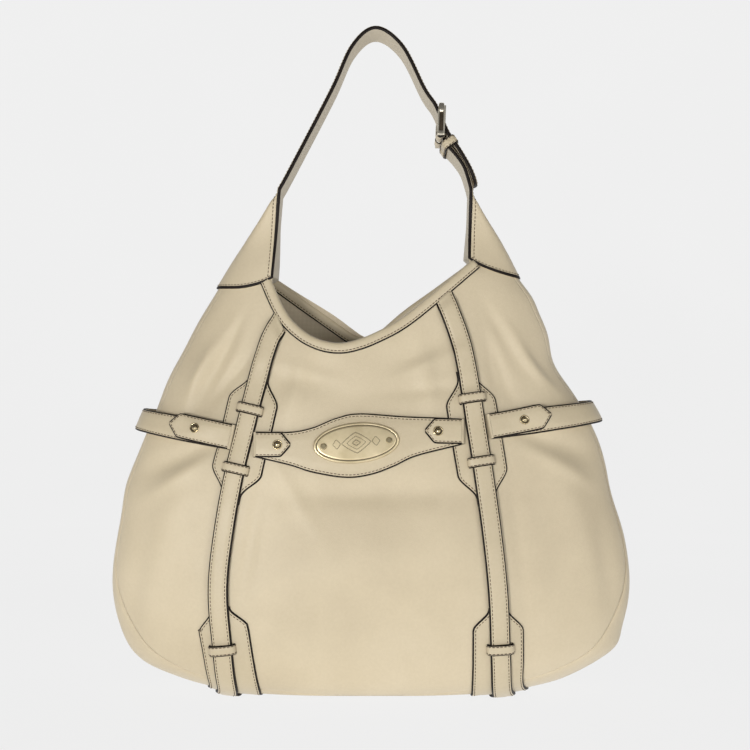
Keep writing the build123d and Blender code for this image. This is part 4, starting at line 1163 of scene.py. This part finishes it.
def horn_rings(way, lower_edge, inner_foot, strap_start, taper):
    """Sections from a horn's lower edge up to the first section of its strap."""
    inner_top, outer_top = strap_start
    edge = spline(lower_edge, 12)
    foot_z = lower_edge[0][1]

    def edge_rise(x):
        """How far the horn's lower edge at x lies above its inner corner."""
        return float(np.interp(min(140, max(79, abs(x))), edge[:, 0], edge[:, 1])) - foot_z

    rings = []
    drops = [0.0, 0.25, 0.8, 1.25, 2.3, 2.95, 3.6, 5.5]
    for k, rise in enumerate(drops + list(np.linspace(8, inner_top.z - foot_z - 1.2, 34))):
        t = rise / (inner_top.z - foot_z)
        level = foot_z + rise
        fade = 1 - smooth(rise / 30)
        high = smooth((level - 402) / (inner_top.z - 402))
        lean = smooth((level - 385) / (inner_top.z - 385))
        morph = smooth((level - 348) / 56)

        def form(x, k=k, level=level, fade=fade, high=high, lean=lean):
            """Height, half width and half depth of the horn at x."""
            z = level + edge_rise(x) * fade
            out = {0: 0.2, 1: 1.4, 2: 2.0}.get(k, 2.15)
            out = max(0.2, out - 2.0 * smooth((z - 346) / 40))
            a, b, _, _ = half_sizes(z)
            wide = a + out + sideways(way, z)
            fall = max(0.0, inner_top.z - z)
            straight = abs(outer_top.x) + fall * taper * (1 - 0.35 * math.exp(-fall / 10))
            wide = -2.0 * math.log(math.exp((straight - wide) / 2.0) + 1) + straight
            wide = wide * (1 - high) + abs(outer_top.x) * high
            return z, wide, b + max(out, 0.6)

        end = form(way * 120)[1]
        for _ in range(5):
            end = form(way * end)[1]
        y0 = inner_top.y * lean
        inner = Vector((way * inner_foot + (inner_top.x - way * inner_foot) * t, y0, level))
        outer = Vector((way * end, y0, level + (outer_top.z - inner_top.z) * lean))
        wide_dir = (Vector((0, -1, 0)) * (1 - lean) + WIDTH_DIR * lean).normalized()

        def half_line(u, inner=inner, outer=outer, form=form, morph=morph):
            x = inner.x + (outer.x - inner.x) * u
            _, wide, deep = form(x)
            shape = deep * max(0.0, 1 - min(1.0, abs(x) / wide) ** BULGE) ** (1 / BULGE)
            return shape * (1 - morph) + rounded(u, STRAP_WIDE) * morph

        band = 2.1 + (STRAP_THICK - 0.3 - 2.1) * smooth((level - 350) / 60)
        ring, slots, outside, inside = ring_of(inner, outer, wide_dir, half_line, band, 2.6 * (1 - morph) + 0.1)

        def sag(v, fade=fade):
            return Vector((v.x, v.y, v.z + edge_rise(v.x) * fade))

        ring = [sag(v) for v in ring]
        outside = [(sag(v), n) for v, n in outside]
        inside = [(sag(v), n) for v, n in inside]
        if k < 4:
            slots = [1 if s != 3 else 3 for s in slots]
        rings.append((ring, slots, outside, inside))
    return rings


def strap_rings(path, way, step=3.0, tip=None):
    """Sections along a strap of the handle. way is the side of the path that faces outwards."""
    p = even(spline(path, 16), step)
    n = left_normals(p) * way
    if tip:
        run = run_along(p)
        rounding = run[-1] - tip * (1 - np.sin(np.linspace(0, 1, 12) * math.pi / 2))
        at = np.concatenate([np.arange(0, run[-1] - tip, step), rounding])
        n = np.stack([np.interp(at, run, n[:, k]) for k in (0, 1)], axis=1)
        n /= np.linalg.norm(n, axis=1)[:, None]
        p = np.stack([np.interp(at, run, p[:, k]) for k in (0, 1)], axis=1)
        left = run[-1] - at
    rings = []
    for i, (at_, out) in enumerate(zip(p, n)):
        inner = in_handle(*(at_ - out * STRAP_THICK / 2))
        outer = in_handle(*(at_ + out * STRAP_THICK / 2))
        half = STRAP_WIDE
        if tip and left[i] < tip:
            half = 3.4 + (STRAP_WIDE - 3.4) * math.sqrt(max(0.0, 1 - (1 - left[i] / tip) ** 2))
        rings.append(ring_of(inner, outer, WIDTH_DIR, lambda u, half=half: rounded(u, half),
                             STRAP_THICK - 0.25, 0.1))
    return rings


def skin(b, rings, sewn_from):
    """Faces between sections, and the thread along both edges of both faces."""
    count = len(rings[0][0])
    verts = [v for ring, _, _, _ in rings for v in ring]
    faces = grid_faces(len(rings), count, close=True)
    slots = [s for _, row, _, _ in rings[:-1] for s in row]
    faces += end_caps(len(rings), count)
    b.add(verts, faces, slots + [3, 1])
    for which in (0, 1):
        line = [ring[2][which] for ring in rings[sewn_from:-2]]
        b.stitch([q for q, _ in line], [u for _, u in line])


def lower_seam(b, rings, row):
    """Thread along a horn's lower edge, from the front inner corner round to the back one."""
    ring, slots, _, _ = rings[row]
    count = len(ring)
    around = [k for k in range(count) if slots[k] == 0]
    points, ups = [], []
    centre = sum(ring, Vector()) / count
    for k in around:
        ahead = ring[(k + 1) % count] - ring[k - 1]
        up = rings[row + 2][0][k] - rings[row - 2][0][k]
        normal = ahead.cross(up).normalized()
        if normal.dot(ring[k] - centre) < 0:
            normal.negate()
        points.append(ring[k] + normal * 0.05)
        ups.append(normal)
    line = even([tuple(q) + tuple(u) for q, u in zip(points, ups)], 1.0)
    b.stitch([Vector(q[:3]) for q in line], [Vector(q[3:]) for q in line])


def painted_shade_hole(b, at, wide_dir, along, normal, radius, length=0.0):
    """A punched hole or slot: a dark dished disc let into the face, its dark colour painted shade in place of the open
    hole.
    """
    verts = []
    count = 28
    for scale, h in ((1.12, 0.02), (1.0, 0.1), (0.86, 0.02), (0.5, -0.3)):
        for k in range(count):
            angle = 2 * math.pi * k / count
            stretch = length / 2 if math.cos(angle) > 0 else -length / 2
            verts.append(at + along * (radius * scale * math.cos(angle) + stretch)
                         + wide_dir * (radius * scale * math.sin(angle)) + normal * h)
    faces = grid_faces(4, count, close=True)
    faces.append(tuple(3 * count + k for k in range(count)))
    faces.append(tuple(range(count))[::-1])
    b.add(verts, faces, 1)


HEEL_BAR, FAR_BAR = (57.5, 41.0), (58.5, 66.5)
SPARE_HOLE = (35.0, 100.0)


SEAM_ROW = 5  # the section that a horn's thread starts from


def horn_and_strap(name, path, outward, lower_edge, inner_foot, taper, tip=None):
    """A horn and the strap that grows from it. outward is the side of the path that faces out."""
    b = Builder(name, [BODY, EDGE, THREAD, INNER])
    start = even(spline(path, 16), 3.0)
    out = left_normals(start)[0] * outward
    low = (in_handle(*(start[0] - out * STRAP_THICK / 2)), in_handle(*(start[0] + out * STRAP_THICK / 2)))
    horn = horn_rings(-outward, lower_edge, inner_foot, low, taper)
    skin(b, horn + strap_rings(path, outward, tip=tip), SEAM_ROW)
    lower_seam(b, horn, SEAM_ROW)
    return b


def handle_pieces():
    b = horn_and_strap("left_horn_and_long_strap", LONG_STRAP, 1, LEFT_EDGE, 79.9, 0.72, tip=13.0)
    line = even(spline(LONG_STRAP, 16), 1.0)
    normals = left_normals(line)
    # the spare hole and the slot are discs painted dark as shade on both faces of the strap
    for at, r, length in ((SPARE_HOLE, 2.1, 0.0), (HEEL_BAR, 2.3, 10.0)):
        k = int(np.argmin(np.linalg.norm(line - np.array(at), axis=1)))
        n2 = normals[k]
        along = in_handle(n2[1], -n2[0]) - in_handle(0, 0)
        normal = in_handle(n2[0], n2[1]) - in_handle(0, 0)
        for face in (1, -1):
            spot = in_handle(*(line[k] + n2 * face * (STRAP_THICK / 2 + 0.12)))
            painted_shade_hole(b, spot, WIDTH_DIR, along, normal * face, r, length)
    left = b.make()
    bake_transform(left)
    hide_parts("left_horn", "long_strap")

    b = horn_and_strap("right_horn_and_short_strap", SHORT_STRAP, -1, RIGHT_EDGE, 79.6, 0.6)
    # the strap's end, wrapped round the buckle's heel bar on both sides of the prong
    for side in (-1, 1):
        verts = []
        near, far = 2.7, STRAP_WIDE
        stations = [(near, 3.3), (near + 0.3, 3.75), (near + 1.2, 3.85), (far - 1.2, 3.85), (far - 0.3, 3.75),
                    (far, 3.3)]
        for wide, r in stations:
            for k in range(24):
                angle = 2 * math.pi * k / 24
                spot = in_handle(HEEL_BAR[0] + r * math.cos(angle), HEEL_BAR[1] + r * math.sin(angle))
                verts.append(spot + WIDTH_DIR * wide * side)
        faces = grid_faces(len(stations), 24, close=True)
        slots = [1 if i in (0, len(stations) - 2) else 0 for i in range(len(stations) - 1) for _ in range(24)]
        faces += end_caps(len(stations), 24)
        b.add(verts, faces, slots + [1, 1])
    right = b.make()
    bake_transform(right)
    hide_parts("right_horn", "short_strap")


handle_pieces()

KEEPER_AT, KEEPER_TOWARDS, KEEPER_HALF = (65.0, 34.0), (5.8, -8.6), (15.8, 5.4)


def keeper():
    """The band that holds the long strap's end down on the short strap."""
    size = math.hypot(*KEEPER_TOWARDS)
    along2 = (KEEPER_TOWARDS[0] / size, KEEPER_TOWARDS[1] / size)
    origin = in_handle(0, 0)
    along = in_handle(*along2) - origin
    out_dir = in_handle(-along2[1], along2[0]) - origin
    centre = in_handle(*KEEPER_AT)
    rows = []
    power = 6.0
    for angle in np.linspace(-math.pi, math.pi, 73):
        ca, sa = math.cos(angle), math.sin(angle)
        w = KEEPER_HALF[0] * abs(sa) ** (2 / power) * (1 if sa > 0 else -1)
        h = KEEPER_HALF[1] * abs(ca) ** (2 / power) * (1 if ca > 0 else -1)
        nw = abs(w / KEEPER_HALF[0]) ** (power - 1) / KEEPER_HALF[0] * (1 if sa > 0 else -1)
        nh = abs(h / KEEPER_HALF[1]) ** (power - 1) / KEEPER_HALF[1] * (1 if ca > 0 else -1)
        scale = math.hypot(nw, nh)
        normal = WIDTH_DIR * (nw / scale) + out_dir * (nh / scale)
        at = centre + WIDTH_DIR * w + out_dir * h
        rows.append(lambda reach, out, at=at, normal=normal: (at + along * reach + normal * out, normal))
    b = Builder("strap_keeper_leather")
    strip(b, rows, 4.0, thick=1.2, crown=0.3, stitch=1.5, under=3)
    declare(b.make(), "handle", "trim_leather", "strap_keeper")


keeper()


def buckle_frame():
    """A rounded frame, open at the strap's end, with a recess along each side and a plain heel bar."""
    heel, far = np.array(HEEL_BAR), np.array(FAR_BAR)
    up2 = (far - heel) / np.linalg.norm(far - heel)
    origin = in_handle(0, 0)
    up, out = in_handle(*up2) - origin, in_handle(up2[1], -up2[0]) - origin

    def place(wide, high, deep):
        return in_handle(*heel) + WIDTH_DIR * wide + up * high + out * deep

    half, top, corner = 17.75, 25.5, 7.0
    arm = [(half, v) for v in np.linspace(-2.6, top - corner, 18)]
    arm += [(half - corner + corner * math.cos(t), top - corner + corner * math.sin(t))
            for t in np.linspace(0, math.pi / 2, 12)[1:]]
    arm += [(w, top) for w in np.linspace(half - corner, 0, 6)[1:]]
    path = np.array(arm + [(-w, v) for w, v in arm[-2::-1]])
    run = np.gradient(path, axis=0)
    run /= np.linalg.norm(run, axis=1)[:, None]
    profile = [(1.75, -2.3), (1.75, -1.75), (1.75, -1.5), (1.75, 1.5), (1.75, 1.75), (1.75, 2.3), (1.4, 3.0),
               (0.9, 3.15), (-0.9, 3.15), (-1.4, 3.0), (-1.75, 2.3), (-1.75, -2.3), (-1.4, -3.0), (-0.9, -3.15),
               (0.9, -3.15), (1.4, -3.0)]
    verts, recess = [], []
    for (w, v), t in zip(path, run):
        slim = 1 - 0.28 * smooth((v - 15) / 9)
        deep = 0.8 if 0.5 < v < 18 and abs(w) > half - 0.1 else 0.0
        recess.append(deep > 0)
        for k, (a, n) in enumerate(profile):
            a -= deep if k in (2, 3) else 0
            verts.append(place(w + t[1] * a, v - t[0] * a, n * slim))
    cols = len(profile)
    faces = grid_faces(len(path), cols, close=True)
    # the faces inside the side recesses take the dark gold as painted shade
    slots = [1 if recess[i] and recess[i + 1] and k in (1, 2, 3) else 0
             for i in range(len(path) - 1) for k in range(cols)]
    faces += end_caps(len(path), cols)
    b = Builder("buckle_frame_metal", [BUCKLE, RECESS_SHADE_GOLD])
    b.add(verts, faces, slots + [0, 0])
    verts = [place(w, 1.5 * math.sin(t), 1.5 * math.cos(t))
             for w in (-17, 17) for t in np.linspace(0, 2 * math.pi, 25)[:-1]]
    b.add(verts, grid_faces(2, 24, close=True) + [tuple(range(24))[::-1], tuple(range(24, 48))], 0)
    declare(b.make(), "buckle", "pale_gold", "buckle_frame")


buckle_frame()


# ---------------------------------------------------------------- stage, light, camera
def stage():
    verts, faces = [], []
    profile = [(-2.2, 0.0), (-1.0, 0.0), (0.6, 0.0), (1.2, 0.0), (1.5, 0.03), (1.75, 0.14), (1.92, 0.33),
               (2.0, 0.6), (2.0, 1.4), (2.0, 2.6)]
    for y, z in profile:
        for x in np.linspace(-3.2, 3.2, 9):
            verts.append((x / MM, y / MM, (z - 0.0002) / MM))
    m, tree, shader = material("studio_sweep")
    cloud = node(tree, "ShaderNodeTexNoise", Scale=3.0, Detail=3.0)
    tree.links.new(node(tree, "ShaderNodeTexCoord").outputs["Object"], cloud.inputs["Vector"])
    glow = ramp(tree, cloud.outputs["Fac"], [(0.2, (0.825, 0.825, 0.825, 1)), (0.8, (0.835, 0.835, 0.835, 1))])
    tree.links.new(glow, shader.inputs["Emission Color"])
    shader.inputs["Emission Strength"].default_value = 1.0
    shader.inputs["Base Color"].default_value = (0.06, 0.06, 0.06, 1)
    shader.inputs["Specular IOR Level"].default_value = 0.0
    shader.inputs["Roughness"].default_value = 0.9
    obj = new_piece("studio_sweep", verts, grid_faces(len(profile), 9), [m])


stage()


def area(name, location, target, size, power):
    light = bpy.data.lights.new(name, "AREA")
    light.shape, light.size, light.energy, light.spread = "DISK", size, power, math.pi
    obj = bpy.data.objects.new(name, light)
    obj.location = location
    obj.rotation_euler = (Vector(target) - Vector(location)).to_track_quat("-Z", "Y").to_euler()
    bpy.context.collection.objects.link(obj)


area("key", (-0.65, -1.6, 0.15), (0, 0, 0.12), 0.4, 15.5)
area("fill", (0.95, -1.4, 0.1), (0, 0, 0.12), 1.2, 9.5)

world = bpy.data.worlds.new("studio")
bpy.context.scene.world = world
world.use_nodes = True
sky = world.node_tree
where = node(sky, "ShaderNodeTexCoord").outputs["Generated"]
split = node(sky, "ShaderNodeSeparateXYZ")
sky.links.new(where, split.inputs["Vector"])
shade = ramp(sky, split.outputs["Z"], [(0.0, (0.5, 0.5, 0.5, 1)), (0.25, (0.34, 0.34, 0.34, 1)),
                                        (0.7, (0.11, 0.11, 0.11, 1))])
sky.links.new(shade, sky.nodes["Background"].inputs["Color"])
sky.nodes["Background"].inputs["Strength"].default_value = 1.0

camera = bpy.data.objects.new("camera", bpy.data.cameras.new("camera"))
camera.data.lens, camera.data.sensor_width = 63.4, 36
camera.location = (0.0033, -1.10, 0.262)
camera.rotation_euler = (math.radians(90), 0, 0)
bpy.context.collection.objects.link(camera)
bpy.context.scene.camera = camera
bpy.context.scene.view_settings.view_transform = "Standard"

NODE_MATERIALS = {"trim_leather": TRIM, "body_leather": BODY, "lining_cloth": LINING, "zip_tape": TAPE,
                  "stiffener_board": BOARD, "pale_gold": GOLD, "zip_metal": GOLD, "snap_metal": STEEL}
for entry in frame["record"]["subparts"]:
    piece = frame["nodes"][entry["node"]]
    piece.data.materials.clear()
    own = BUCKLE if entry["node"] in ("buckle_frame", "buckle_prong") else NODE_MATERIALS[entry["material_slot"]]
    piece.data.materials.append(own)

bpy.context.view_layer.update()
